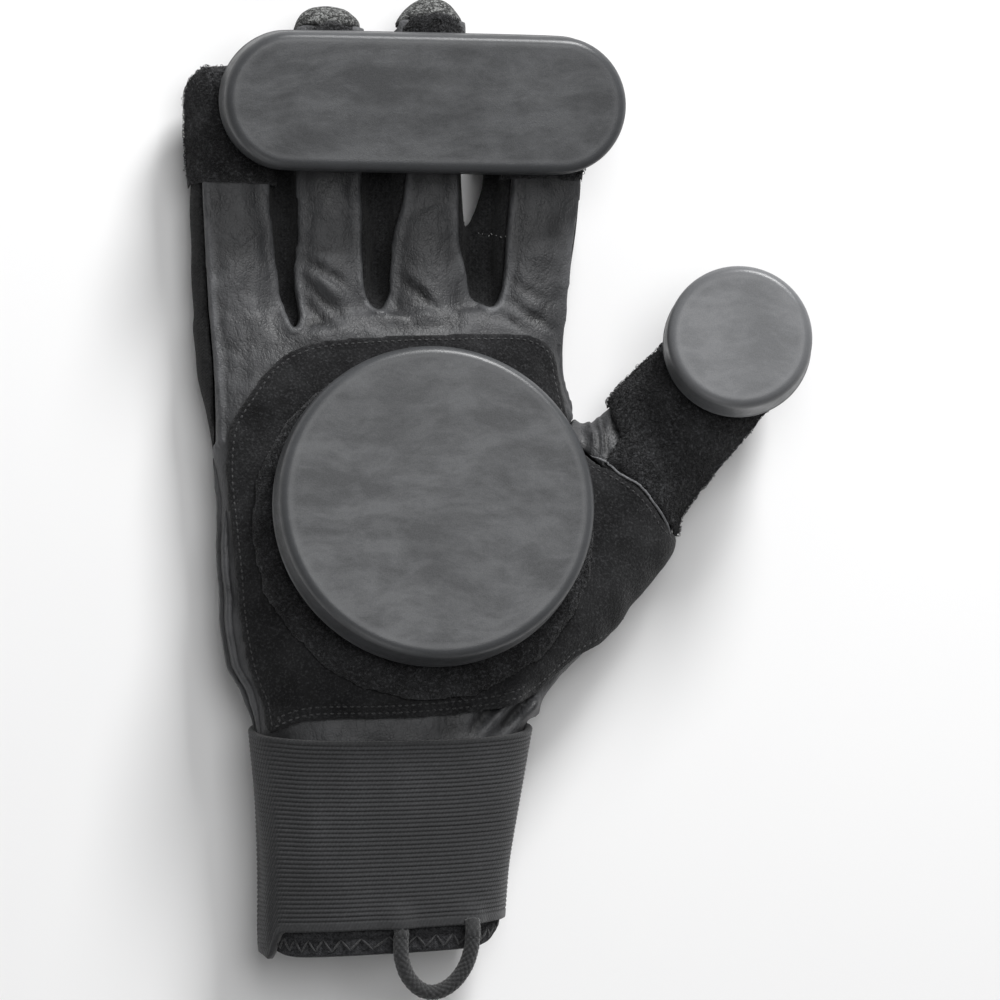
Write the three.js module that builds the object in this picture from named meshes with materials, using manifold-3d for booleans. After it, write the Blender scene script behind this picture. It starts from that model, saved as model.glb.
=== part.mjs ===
// Longboard slide glove for the right hand, lying on its back with the palm up.
// Millimetres, +Z up, +Y towards the fingertips, +X towards the thumb.
// The glove is one hollow hand shape. Its skin is cut along the sewn seams into
// a leather palm, a fabric back, side strips between the fingers and a thumb.
// Patches, hook backings and pucks are stacked on it, each GAP above the last.
import * as THREE from 'three';
import { mergeVertices } from 'three/addons/utils/BufferGeometryUtils.js';
import Module from 'manifold-3d';

const wasm = await Module();
wasm.setup();

// Clearance between pieces that touch
const GAP = 0.3;

// Skin of the glove and the layers on it
const GLOVE_WALL = 1.8;
const SUEDE_THICKNESS = 1.3;
const LOOP_PILE_THICKNESS = 1.6;
const HOOK_THICKNESS = 1.4;
// A hook backing bends down this far to follow the pile under it
const HOOK_FOLLOW = 2.5;
// The round back of the hand is pressed flat by this much where it rests
const REST_FLATTENING = 2;

// Palm, from the wrist edge to the crotches of the fingers
const PALM_WIDTH = 102.4;
const PALM_LENGTH = 124;
const PALM_DEPTH = 33.5;
const WRIST_TUCK = 7;

// Fingers, measured from the crotch line
const FINGER_REACH = 87.5;
const FINGER_WIDTH = 22;
const FINGER_DEPTH = 19.5;
const FINGER_EMBED = 17;
const FINGERTIP_DOME = 11;
// How far the back's fabric comes round the fingertips to the front
const TIP_WRAP = 7;

// Thumb, from its base inside the ball of the thumb
const THUMB_LENGTH = 71;
const THUMB_WIDTH = 33.4;
const THUMB_DEPTH = 22;
const THUMB_DOME = 14;
const THUMB_ANGLE = THREE.MathUtils.degToRad(47.3);
const THUMB_ROLL = THREE.MathUtils.degToRad(9.7);
const THUMB_SEAM = 5;

// Pucks
const PUCK_THICKNESS = 12.8;
const PUCK_FILLET = 2.8;
const PUCK_DRAFT = 0.5;
const PALM_PUCK_DIAMETER = 89.4;
const FINGER_PUCK_LENGTH = 114.5;
const FINGER_PUCK_WIDTH = 39.6;
const THUMB_PUCK_DIAMETER = 42;
const HOOK_INSET = 2.2;
const PALM_LOOP_MARGIN = 3.8;

// Elastic cuff, hem of the lining and pull loop
const CUFF_LENGTH = 54.5;
const CUFF_TOP_WIDTH = 80;
const CUFF_BOTTOM_WIDTH = 69.4;
const CUFF_DEPTH = 38.6;
const CUFF_WALL = 1.9;
const CUFF_WAIST = 0.9;
// How much lower the front of the upper edge lies, and the lower edge's share of it
const CUFF_LEAN = 4.5;
const CUFF_LOWER_LEAN = 0.4;
const CUFF_TAB_DROP = 7.5;
const HEM_DROP = 7.4;
const HEM_TUCK = 8;
const HEM_WALL = 2.2;
const CORD_DIAMETER = 4.4;

// Where the hand's centre line and its wrist edge lie, from the frame's middle
const HAND_X = -33.2;
const WRIST_Y = -68;
const KNUCKLE_Y = WRIST_Y + PALM_LENGTH;

// Palm sections. along: share of PALM_LENGTH from the wrist edge. left, right: shares
// of PALM_WIDTH from the centre line. depth: share of PALM_DEPTH. square: how boxy.
const PALM_ROWS = [
  { along: 0.11, left: -0.356, right: 0.466, depth: 1.02, square: 2.6, slant: 0.01 },
  { along: 0.185, left: -0.403, right: 0.556, depth: 1.0, square: 2.7, slant: 0 },
  { along: 0.28, left: -0.418, right: 0.66, depth: 0.97, square: 2.8, slant: 0 },
  { along: 0.385, left: -0.424, right: 0.762, depth: 0.94, square: 2.8, slant: 0 },
  { along: 0.485, left: -0.428, right: 0.824, depth: 0.91, square: 2.8, slant: 0 },
  { along: 0.565, left: -0.432, right: 0.8, depth: 0.88, square: 2.8, slant: 0 },
  { along: 0.645, left: -0.444, right: 0.676, depth: 0.85, square: 2.8, slant: 0 },
  { along: 0.725, left: -0.461, right: 0.566, depth: 0.81, square: 2.8, slant: 0 },
  { along: 0.81, left: -0.476, right: 0.53, depth: 0.77, square: 2.7, slant: 0.01 },
  { along: 0.9, left: -0.489, right: 0.503, depth: 0.71, square: 2.6, slant: 0.03 },
  { along: 0.965, left: -0.494, right: 0.498, depth: 0.63, square: 2.5, slant: 0.04 },
  { along: 0.99, left: -0.485, right: 0.489, depth: 0.45, square: 2.3, slant: 0.04 },
];

// Fingers. root, tip: shares of PALM_WIDTH from the centre line. reach: share of
// FINGER_REACH. The three widths are shares of FINGER_WIDTH at root, middle and tip.
const FINGERS = [
  { name: 'pinky', root: -0.374, tip: -0.413, reach: 0.766, rootWidth: 1.12, midWidth: 1.07, tipWidth: 0.97 },
  { name: 'ring', root: -0.115, tip: -0.135, reach: 0.973, rootWidth: 1.1, midWidth: 0.97, tipWidth: 0.94 },
  { name: 'middle', root: 0.144, tip: 0.15, reach: 1.0, rootWidth: 1.1, midWidth: 0.96, tipWidth: 0.97 },
  { name: 'index', root: 0.41, tip: 0.497, reach: 0.858, rootWidth: 0.98, midWidth: 1.13, tipWidth: 1.0 },
];

// How a finger's middle line rises, as shares of FINGER_DEPTH, along its length
const FINGER_RISE = [
  { along: 0, height: 0.52 },
  { along: 0.5, height: 0.53 },
  { along: 0.75, height: 0.6 },
  { along: 1, height: 0.76 },
];

// Thumb sections: shares of THUMB_LENGTH, THUMB_WIDTH, THUMB_DEPTH and PALM_DEPTH
const THUMB_ROWS = [
  { along: 0, width: 0.98, depth: 0.98, height: 0.46 },
  { along: 0.2, width: 1.0, depth: 1.0, height: 0.46 },
  { along: 0.45, width: 0.97, depth: 1.0, height: 0.47 },
  { along: 0.7, width: 0.9, depth: 0.97, height: 0.48 },
  { along: 1, width: 0.84, depth: 0.9, height: 0.46 },
];

// Height of the seam round the hand, a share of PALM_DEPTH, along the hand from the
// wrist (0) and the crotch line (1) to the longest fingertip (2)
const SEAM_ROWS = [
  { along: -0.5, height: 0.42 },
  { along: 0.3, height: 0.36 },
  { along: 1, height: 0.37 },
  { along: 1.6, height: 0.42 },
  { along: 2.2, height: 0.56 },
];

// Suede palm patch outline, as shares of PALM_WIDTH and PALM_LENGTH from the
// centre line and the wrist edge. Where it passes the hand's edge it wraps round it.
const PATCH_OUTLINE = [
  { x: -0.305, y: 0.02 },
  { x: -0.34, y: 0.085 },
  { x: -0.372, y: 0.15 },
  { x: -0.41, y: 0.25 },
  { x: -0.47, y: 0.34 },
  { x: -0.48, y: 0.6 },
  { x: -0.42, y: 0.71 },
  { x: -0.36, y: 0.785 },
  { x: -0.3, y: 0.85 },
  { x: -0.235, y: 0.888 },
  { x: -0.14, y: 0.91 },
  { x: 0.05, y: 0.923 },
  { x: 0.24, y: 0.93 },
  { x: 0.38, y: 0.934 },
  { x: 0.45, y: 0.922 },
  { x: 0.486, y: 0.89 },
  { x: 0.5, y: 0.82 },
  { x: 0.53, y: 0.7 },
  { x: 0.58, y: 0.645 },
  { x: 0.655, y: 0.612 },
  { x: 0.73, y: 0.565 },
  { x: 0.79, y: 0.505 },
  { x: 0.86, y: 0.44 },
  { x: 0.78, y: 0.35 },
  { x: 0.66, y: 0.25 },
  { x: 0.54, y: 0.193 },
  { x: 0.42, y: 0.11 },
  { x: 0.31, y: 0.075 },
  { x: 0.05, y: 0.052 },
  { x: -0.2, y: 0.046 },
];

// Loop-pile sleeve of the thumb, from the thumb's middle line: shares of THUMB_LENGTH
// along it and of THUMB_WIDTH across it, towards the wrist positive
const THUMB_LOOP_OUTLINE = [
  { along: 0.3, across: -0.75 },
  { along: 0.215, across: -0.22 },
  { along: 0.12, across: -0.14 },
  { along: 0.12, across: 0.75 },
  { along: 1.3, across: 0.75 },
  { along: 1.3, across: -0.75 },
];

// Centre line of the pull loop, from the middle of the cuff's lower edge, in mm
const CORD_ROUTE = [
  [1.6, 0, 0],
  [1.4, -3.5, -0.1],
  [1.8, -7.5, -0.6],
  [3.6, -12.0, -1.6],
  [7.2, -15.6, -2.6],
  [11.6, -16.4, -3.0],
  [16.2, -14.0, -2.6],
  [19.6, -9.4, -1.6],
  [21.2, -4.2, -0.6],
  [21.6, 0.4, 0],
];

// A closed mesh with merged corners becomes a solid that can be cut and joined
function solidOf(geometry) {
  const bare = geometry.clone();
  bare.deleteAttribute('normal');
  bare.deleteAttribute('uv');
  const merged = mergeVertices(bare, 1e-4);
  return new wasm.Manifold(new wasm.Mesh({
    numProp: 3,
    vertProperties: new Float32Array(merged.attributes.position.array),
    triVerts: new Uint32Array(merged.index.array),
  }));
}

function geometryOf(solid) {
  const mesh = solid.getMesh();
  const geometry = new THREE.BufferGeometry();
  geometry.setAttribute('position', new THREE.BufferAttribute(mesh.vertProperties, 3));
  geometry.setIndex(new THREE.BufferAttribute(mesh.triVerts, 1));
  geometry.computeVertexNormals();
  return geometry;
}

function joined(solids) {
  return solids.reduce((all, next) => all.add(next));
}

// The value of one column of a table at a place along it, by straight lines
function between(rows, column, along) {
  const after = rows.findIndex((row) => row.along >= along);
  if (after < 0) {
    return rows[rows.length - 1][column];
  }
  if (after === 0) {
    return rows[0][column];
  }
  const low = rows[after - 1];
  const high = rows[after];
  const share = (along - low.along) / (high.along - low.along);
  return low[column] + (high[column] - low[column]) * share;
}

// A point on the unit superellipse: square 2 is round, and more is boxier
function boxyRound(angle, square) {
  const c = Math.cos(angle);
  const s = Math.sin(angle);
  return {
    across: Math.sign(c) * Math.abs(c) ** (2 / square),
    up: Math.sign(s) * Math.abs(s) ** (2 / square),
  };
}

// A solid through sections, each with a centre, a side and an up direction, half its
// width, half its depth and how boxy it is
function loft(sections, sides) {
  const points = [];
  const faces = [];
  for (const section of sections) {
    for (let i = 0; i < sides; i += 1) {
      const unit = boxyRound((2 * Math.PI * (i + 0.5)) / sides, section.square);
      const point = section.centre.clone();
      point.addScaledVector(section.side, section.halfWidth * unit.across);
      point.addScaledVector(section.up, section.halfDepth * unit.up);
      points.push(point.x, point.y, point.z);
    }
  }
  const first = sections[0];
  const last = sections[sections.length - 1];
  const ahead = last.centre.clone().sub(first.centre);
  const turned = first.side.clone().cross(first.up).dot(ahead) < 0;
  const face = (a, b, c) => faces.push(...(turned ? [a, c, b] : [a, b, c]));
  for (let row = 0; row + 1 < sections.length; row += 1) {
    for (let i = 0; i < sides; i += 1) {
      const a = row * sides + i;
      const b = row * sides + ((i + 1) % sides);
      face(a, b, b + sides);
      face(a, b + sides, a + sides);
    }
  }
  points.push(...first.centre.toArray(), ...last.centre.toArray());
  const startHub = sections.length * sides;
  const endRow = (sections.length - 1) * sides;
  for (let i = 0; i < sides; i += 1) {
    const next = (i + 1) % sides;
    face(startHub, next, i);
    face(startHub + 1, endRow + i, endRow + next);
  }
  const geometry = new THREE.BufferGeometry();
  geometry.setAttribute('position', new THREE.Float32BufferAttribute(points, 3));
  geometry.setIndex(faces);
  return solidOf(geometry);
}

// A section that stands across the hand between a left and a right place
// and is slanted along the hand: its right side by slant, its front by lean
function crossSection(y, left, right, low, high, square, { slant, lean }, grow) {
  const width = right - left;
  return {
    centre: new THREE.Vector3((left + right) / 2, y, (low + high) / 2),
    side: new THREE.Vector3(1, slant / width, 0),
    up: new THREE.Vector3(0, (-2 * lean) / (high - low), 1),
    halfWidth: width / 2 + grow,
    halfDepth: (high - low) / 2 + grow,
    square,
  };
}

const cuffUpperY = WRIST_Y + 0.036 * PALM_LENGTH;
const cuffLowerY = cuffUpperY - CUFF_LENGTH;

// Sections of the cuff tube, grown by some distance, between two places along it
function cuffSections(fromY, toY, grow, steps) {
  const sections = [];
  for (let i = 0; i <= steps; i += 1) {
    const y = fromY + ((toY - fromY) * i) / steps;
    const share = Math.min(1.2, Math.max(0, (cuffUpperY - y) / CUFF_LENGTH));
    const width = CUFF_TOP_WIDTH + (CUFF_BOTTOM_WIDTH - CUFF_TOP_WIDTH) * share;
    const waist = CUFF_WAIST * Math.sin(Math.PI * Math.min(1, share));
    const middle = HAND_X + 0.038 * PALM_WIDTH - 0.034 * CUFF_TOP_WIDTH * share;
    sections.push(crossSection(
      y,
      middle - width / 2 + waist,
      middle + width / 2 - waist,
      0,
      CUFF_DEPTH,
      2.5,
      {
        slant: 0.022 * CUFF_TOP_WIDTH * (1 + share),
        lean: CUFF_LEAN * (1 + (CUFF_LOWER_LEAN - 1) * share),
      },
      grow,
    ));
  }
  return sections;
}

// The palm, grown by some distance. Its wrist is tucked into the cuff, and its hollow
// runs on past the wrist edge.
function palm(grow) {
  const mouth = grow < 0 ? 10 : 0;
  const tucked = cuffUpperY - WRIST_TUCK - mouth;
  const wrist = cuffSections(tucked, cuffUpperY + GAP, grow - CUFF_WALL - GAP, 1);
  const rows = PALM_ROWS.map((row, i) => crossSection(
    WRIST_Y + row.along * PALM_LENGTH + (i === PALM_ROWS.length - 1 ? grow : 0),
    HAND_X + row.left * PALM_WIDTH,
    HAND_X + row.right * PALM_WIDTH,
    -REST_FLATTENING,
    row.depth * PALM_DEPTH,
    row.square,
    { slant: row.slant * PALM_LENGTH, lean: 0 },
    grow,
  ));
  return loft([...wrist, ...rows], grow < 0 ? 16 : 22);
}

// Places along a finger or thumb, with the round tip as a share of the full section
function tipStations(length, dome, bodyShares) {
  const domeStart = 1 - dome / length;
  const stations = bodyShares.map((share) => ({ along: share * domeStart, fullness: 1 }));
  for (const share of [0.5, 0.82, 0.97]) {
    stations.push({
      along: domeStart + share * (1 - domeStart),
      fullness: Math.sqrt(1 - share * share),
    });
  }
  return stations;
}

function finger(row, grow) {
  const length = FINGER_REACH * row.reach + FINGER_EMBED;
  const start = new THREE.Vector3(HAND_X + row.root * PALM_WIDTH, KNUCKLE_Y - FINGER_EMBED, 0);
  const end = new THREE.Vector3(HAND_X + row.tip * PALM_WIDTH, KNUCKLE_Y + FINGER_REACH * row.reach, 0);
  const ahead = end.clone().sub(start).normalize();
  const widths = [
    { along: 0, width: row.rootWidth * 0.9 },
    { along: 0.15, width: row.rootWidth },
    { along: 0.55, width: row.midWidth },
    { along: 1, width: row.tipWidth },
  ];
  const stations = tipStations(length, FINGERTIP_DOME, [0, 0.18, 0.5, 0.78, 1]);
  const sections = stations.map(({ along, fullness }) => {
    const centre = start.clone().addScaledVector(ahead, along * length + (fullness < 0.3 ? grow : 0));
    centre.z = between(FINGER_RISE, 'height', along) * FINGER_DEPTH;
    return {
      centre,
      side: new THREE.Vector3(ahead.y, -ahead.x, 0),
      up: new THREE.Vector3(0, 0, 1),
      halfWidth: (between(widths, 'width', along) * FINGER_WIDTH * fullness) / 2 + grow,
      halfDepth: (FINGER_DEPTH * fullness) / 2 + grow,
      square: 2.3,
    };
  });
  return loft(sections.filter((section) => section.halfWidth > 0.5 && section.halfDepth > 0.5), grow < 0 ? 10 : 12);
}

// The thumb's own directions: ahead to its tip, across it towards the wrist, and up
// from its front, which rolls towards the fingers
const THUMB_BASE = new THREE.Vector3(
  HAND_X + 0.634 * PALM_WIDTH,
  WRIST_Y + 0.56 * PALM_LENGTH,
  0,
);
const THUMB_AHEAD = new THREE.Vector3(Math.cos(THUMB_ANGLE), Math.sin(THUMB_ANGLE), 0);
const THUMB_LEVEL = new THREE.Vector3(THUMB_AHEAD.y, -THUMB_AHEAD.x, 0);
const THUMB_UP = new THREE.Vector3(0, 0, Math.cos(THUMB_ROLL))
  .addScaledVector(THUMB_LEVEL, -Math.sin(THUMB_ROLL));
const THUMB_ACROSS = THUMB_AHEAD.clone().cross(THUMB_UP);

function thumb(grow) {
  const stations = tipStations(THUMB_LENGTH, THUMB_DOME, [0, 0.3, 0.65, 1]);
  const sections = stations.map(({ along, fullness }) => {
    const centre = THUMB_BASE.clone();
    centre.addScaledVector(THUMB_AHEAD, along * THUMB_LENGTH + (fullness < 0.3 ? grow : 0));
    centre.z = between(THUMB_ROWS, 'height', along) * PALM_DEPTH;
    return {
      centre,
      side: THUMB_ACROSS,
      up: THUMB_UP,
      halfWidth: (between(THUMB_ROWS, 'width', along) * THUMB_WIDTH * fullness) / 2 + grow,
      halfDepth: (between(THUMB_ROWS, 'depth', along) * THUMB_DEPTH * fullness) / 2 + grow,
      square: 2.3,
    };
  });
  return loft(sections, grow < 0 ? 10 : 14);
}

// A prism through an outline of x and y places, between two heights
function prism(outline, low, high) {
  const shape = new THREE.Shape(outline.map(([x, y]) => new THREE.Vector2(x, y)));
  const geometry = new THREE.ExtrudeGeometry(shape, { depth: high - low, bevelEnabled: false });
  geometry.translate(0, 0, low);
  return solidOf(geometry);
}

// Longer than the glove in every direction
const REACH = 4 * (PALM_LENGTH + FINGER_REACH);

function floorBlock(low) {
  return prism([[-REACH, -REACH], [REACH, -REACH], [REACH, REACH], [-REACH, REACH]], low, REACH);
}

// The whole hand shape, grown by some distance and flat where it rests
function hand(grow) {
  const shapes = [palm(grow), thumb(grow)];
  for (const row of FINGERS) {
    shapes.push(finger(row, grow));
  }
  return joined(shapes).intersect(floorBlock(Math.max(0, -grow)));
}

// Everything above the seam round the hand, lifted by some distance
function aboveSeam(lift) {
  const places = SEAM_ROWS.map((row) => {
    const past = Math.max(0, row.along - 1);
    const y = WRIST_Y + Math.min(row.along, 1) * PALM_LENGTH + past * FINGER_REACH;
    return new THREE.Vector2(y, row.height * PALM_DEPTH + lift);
  });
  const shape = new THREE.Shape();
  shape.moveTo(-REACH, places[0].y);
  places.forEach((place) => shape.lineTo(place.x, place.y));
  shape.lineTo(REACH, places[places.length - 1].y);
  shape.lineTo(REACH, REACH);
  shape.lineTo(-REACH, REACH);
  const geometry = new THREE.ExtrudeGeometry(shape, { depth: 2 * REACH, bevelEnabled: false });
  // The outline was drawn along Y and Z, and is swept along X
  geometry.applyMatrix4(new THREE.Matrix4().makeBasis(
    new THREE.Vector3(0, 1, 0),
    new THREE.Vector3(0, 0, 1),
    new THREE.Vector3(1, 0, 0),
  ));
  geometry.translate(-REACH, 0, 0);
  return solidOf(geometry);
}

// The part of the hand beyond the seam at the thumb's base
function thumbRegion(setback) {
  const place = (along, across) => {
    const point = THUMB_BASE.clone();
    point.addScaledVector(THUMB_AHEAD, along);
    point.addScaledVector(THUMB_LEVEL, across);
    return [point.x, point.y];
  };
  const near = THUMB_SEAM - setback;
  const indexSide = -0.64 * THUMB_WIDTH - setback;
  const wristSide = 1.3 * THUMB_WIDTH;
  const far = 1.4 * THUMB_LENGTH;
  return prism([
    place(near, indexSide),
    place(near, wristSide),
    place(far, wristSide),
    place(far, indexSide),
  ], -REACH, REACH);
}

// Where a finger's middle line passes a given y
function fingerX(row, y) {
  const rootY = KNUCKLE_Y - FINGER_EMBED;
  const share = (y - rootY) / (FINGER_REACH * row.reach + FINGER_EMBED);
  return HAND_X + (row.root + (row.tip - row.root) * share) * PALM_WIDTH;
}

function fingertipY(row) {
  return KNUCKLE_Y + FINGER_REACH * row.reach;
}

// The space between the middle lines of two neighbouring fingers, short of their tips
function betweenFingers(left, right, margin) {
  const low = KNUCKLE_Y - 0.55 * FINGER_EMBED - margin;
  const leftEnd = fingertipY(left) - TIP_WRAP - 3 * GAP + margin;
  const rightEnd = fingertipY(right) - TIP_WRAP - 3 * GAP + margin;
  return prism([
    [fingerX(left, low) - margin, low],
    [fingerX(right, low) + margin, low],
    [fingerX(right, rightEnd) + margin, rightEnd],
    [fingerX(left, leftEnd) - margin, leftEnd],
  ], 0.28 * FINGER_DEPTH - margin, REACH);
}

// A fingertip, from the end of its front leather outwards
function fingertip(row, setback) {
  const low = fingertipY(row) - TIP_WRAP - setback;
  const middle = fingerX(row, low);
  const half = 0.75 * FINGER_WIDTH;
  return prism([
    [middle - half, low],
    [middle + half, low],
    [middle + half, REACH],
    [middle - half, REACH],
  ], -REACH, REACH);
}

// The hollow skin of the hand and its panels
const skin = hand(0).subtract(hand(-GLOVE_WALL));
const handSkin = skin.subtract(thumbRegion(GAP));
const tips = joined(FINGERS.map((row) => fingertip(row, 0)));
const clearOfTips = joined(FINGERS.map((row) => fingertip(row, GAP)));
const sideStrips = [0, 1, 2].map((i) => betweenFingers(FINGERS[i], FINGERS[i + 1], 0));
const clearOfStrips = joined([0, 1, 2].map((i) => betweenFingers(FINGERS[i], FINGERS[i + 1], GAP)));

function palmLeather() {
  return handSkin.intersect(aboveSeam(0)).subtract(clearOfTips);
}

function backFabric() {
  const below = handSkin.subtract(aboveSeam(-GAP)).subtract(clearOfStrips);
  return below.add(handSkin.intersect(tips));
}

function fourchette(i) {
  return handSkin.subtract(aboveSeam(-GAP)).subtract(clearOfTips).intersect(sideStrips[i]);
}

function thumbLeather() {
  return skin.intersect(thumbRegion(0));
}

// A layer laid on the hand inside an outline, above a lowest height
function layer(outline, low, below, thickness) {
  const region = prism(outline, low, REACH);
  return hand(below + thickness).intersect(region).subtract(hand(below));
}

const onPalm = (row) => [HAND_X + row.x * PALM_WIDTH, WRIST_Y + row.y * PALM_LENGTH];

function palmPatch() {
  const shape = new THREE.SplineCurve(PATCH_OUTLINE.map((row) => new THREE.Vector2(...onPalm(row))));
  const outline = shape.getPoints(Math.round(PATCH_OUTLINE.length * 1.4)).map((point) => [point.x, point.y]);
  return layer(outline, 0.48 * PALM_DEPTH, GAP, SUEDE_THICKNESS);
}

const PALM_PUCK_PLACE = { x: 0.122, y: 0.484, leanAhead: 7.6, leanAside: 0.6 };
const FINGER_PUCK_PLACE = { x: 0.109, y: 0.683, leanAhead: -8, leanAside: 0 };
const THUMB_PUCK_PLACE = { along: 0.79, across: 0.07 };

// Heights of the stacked layers over the skin
const SUEDE_TOP = GAP + SUEDE_THICKNESS;
const PALM_LOOP_BOTTOM = SUEDE_TOP + GAP;
const PALM_LOOP_TOP = PALM_LOOP_BOTTOM + LOOP_PILE_THICKNESS;
const LOOP_TOP = GAP + LOOP_PILE_THICKNESS;

function circle(x, y, radius, sides) {
  const points = [];
  for (let i = 0; i < sides; i += 1) {
    const angle = (2 * Math.PI * i) / sides;
    points.push([x + radius * Math.cos(angle), y + radius * Math.sin(angle)]);
  }
  return points;
}

function stadium(length, width, sides) {
  const radius = width / 2;
  const straight = length / 2 - radius;
  return circle(0, 0, radius, sides).map(([x, y], i) => {
    const onRight = i < sides / 4 || i >= (3 * sides) / 4;
    return [x + (onRight ? straight : -straight), y];
  });
}

const palmPuckX = HAND_X + PALM_PUCK_PLACE.x * PALM_WIDTH;
const palmPuckY = WRIST_Y + PALM_PUCK_PLACE.y * PALM_LENGTH;
const palmLoopRadius = PALM_PUCK_DIAMETER / 2 + PALM_LOOP_MARGIN;

function palmLoop() {
  const outline = circle(palmPuckX - 0.2 * PALM_LOOP_MARGIN, palmPuckY, palmLoopRadius, 36);
  return layer(outline, 0.55 * PALM_DEPTH, PALM_LOOP_BOTTOM, LOOP_PILE_THICKNESS);
}

function fingerLoop(row) {
  const low = KNUCKLE_Y + 0.405 * FINGER_REACH;
  const high = fingertipY(row) - 0.75 * TIP_WRAP;
  const half = 0.56 * FINGER_WIDTH;
  const outline = [
    [fingerX(row, low) - half, low],
    [fingerX(row, low) + half, low],
    [fingerX(row, high) + half, high],
    [fingerX(row, high) - half, high],
  ];
  return layer(outline, 0.83 * FINGER_DEPTH, GAP, LOOP_PILE_THICKNESS);
}

function thumbLoop() {
  const outline = THUMB_LOOP_OUTLINE.map((row) => {
    const point = THUMB_BASE.clone();
    point.addScaledVector(THUMB_AHEAD, row.along * THUMB_LENGTH);
    point.addScaledVector(THUMB_LEVEL, row.across * THUMB_WIDTH);
    return [point.x, point.y];
  });
  return layer(outline, 0.42 * PALM_DEPTH, GAP, LOOP_PILE_THICKNESS);
}

// A frame on the glove: a place and a lean, with the height of what lies under it
function seatMatrix(x, y, leanAhead, leanAside, turn) {
  const lean = new THREE.Euler(
    THREE.MathUtils.degToRad(-leanAhead),
    THREE.MathUtils.degToRad(leanAside),
    THREE.MathUtils.degToRad(turn),
    'YXZ',
  );
  const matrix = new THREE.Matrix4().makeRotationFromEuler(lean);
  matrix.setPosition(x, y, 0);
  return matrix;
}

// The highest place, along the frame's own up direction, of a solid inside a radius
function seatHeight(solid, matrix, halfLength, halfWidth) {
  const back = matrix.clone().invert();
  const positions = solid.getMesh().vertProperties;
  const point = new THREE.Vector3();
  let highest = 0;
  for (let i = 0; i < positions.length; i += 3) {
    point.set(positions[i], positions[i + 1], positions[i + 2]).applyMatrix4(back);
    if (Math.abs(point.x) < halfLength && Math.abs(point.y) < halfWidth) {
      highest = Math.max(highest, point.z);
    }
  }
  return highest;
}

// A puck of a given outline rises from its base through a drafted wall and a fillet
function puckGeometry(outlineAt) {
  const profile = [
    { inset: 0.4 * PUCK_DRAFT, height: 0 },
    { inset: 0, height: 0.08 * PUCK_THICKNESS },
    { inset: PUCK_DRAFT, height: PUCK_THICKNESS - PUCK_FILLET },
  ];
  for (const angle of [30, 60, 90]) {
    const radians = THREE.MathUtils.degToRad(angle);
    profile.push({
      inset: PUCK_DRAFT + PUCK_FILLET * (1 - Math.cos(radians)),
      height: PUCK_THICKNESS - PUCK_FILLET * (1 - Math.sin(radians)),
    });
  }
  const rings = profile.map(({ inset, height }) => outlineAt(inset).map(([x, y]) => [x, y, height]));
  const sides = rings[0].length;
  const points = rings.flat(2);
  const faces = [];
  for (let row = 0; row + 1 < rings.length; row += 1) {
    for (let i = 0; i < sides; i += 1) {
      const a = row * sides + i;
      const b = row * sides + ((i + 1) % sides);
      faces.push(a, b, b + sides, a, b + sides, a + sides);
    }
  }
  const hub = rings.length * sides;
  const top = (rings.length - 1) * sides;
  points.push(0, 0, 0, 0, 0, PUCK_THICKNESS);
  for (let i = 0; i < sides; i += 1) {
    const next = (i + 1) % sides;
    faces.push(hub, next, i, hub + 1, top + i, top + next);
  }
  const geometry = new THREE.BufferGeometry();
  geometry.setAttribute('position', new THREE.Float32BufferAttribute(points, 3));
  geometry.setIndex(faces);
  geometry.computeVertexNormals();
  return geometry;
}

// A hook backing fills the space between a puck and the pile that it grips
function hookBacking(outline, matrix, height, pileTop) {
  const plate = prism(outline, height + GAP - HOOK_FOLLOW, height + GAP + HOOK_THICKNESS);
  const placed = geometryOf(plate);
  placed.applyMatrix4(matrix);
  return solidOf(placed).subtract(hand(pileTop + GAP));
}

// The elastic is a tube that is open at both ends, with one pointed lower corner
function cuffElastic() {
  const outer = loft(cuffSections(cuffUpperY, cuffLowerY, 0, 4), 28);
  const tabReach = 0.67 * CUFF_TAB_DROP;
  const long = loft(cuffSections(cuffLowerY + tabReach, cuffLowerY - CUFF_TAB_DROP, 0, 1), 28);
  const past = CUFF_LENGTH / 4;
  const hollow = loft(cuffSections(cuffUpperY + past, cuffLowerY - past, -CUFF_WALL, 6), 20);
  const corner = HAND_X + 0.038 * PALM_WIDTH - 0.034 * CUFF_TOP_WIDTH - CUFF_BOTTOM_WIDTH / 2;
  const tab = prism([
    [corner - tabReach, cuffLowerY + 0.4 * CUFF_TAB_DROP],
    [corner - tabReach, cuffLowerY - 0.45 * CUFF_TAB_DROP],
    [corner + 0.35 * CUFF_TAB_DROP, cuffLowerY - CUFF_TAB_DROP],
    [corner + 0.75 * CUFF_TAB_DROP, cuffLowerY - 0.6 * CUFF_TAB_DROP],
    [corner + 1.4 * CUFF_TAB_DROP, cuffLowerY + 0.4 * CUFF_TAB_DROP],
  ], 0.2 * CUFF_DEPTH, 0.8 * CUFF_DEPTH);
  return outer.add(long.intersect(tab)).subtract(hollow);
}

// The hem is the turned edge of the lining: a short thick tube inside the elastic
function cuffHem() {
  const outset = -CUFF_WALL - GAP;
  const upper = cuffLowerY + HEM_TUCK;
  const lower = cuffLowerY - HEM_DROP;
  const outer = cuffSections(upper, lower, outset, 3);
  outer[outer.length - 1].halfWidth -= 0.35 * HEM_WALL;
  outer[outer.length - 1].halfDepth -= 0.35 * HEM_WALL;
  const past = HEM_TUCK;
  const hollow = loft(cuffSections(upper + past, lower - past, outset - HEM_WALL, 2), 20);
  return loft(outer, 20).subtract(hollow);
}

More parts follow.
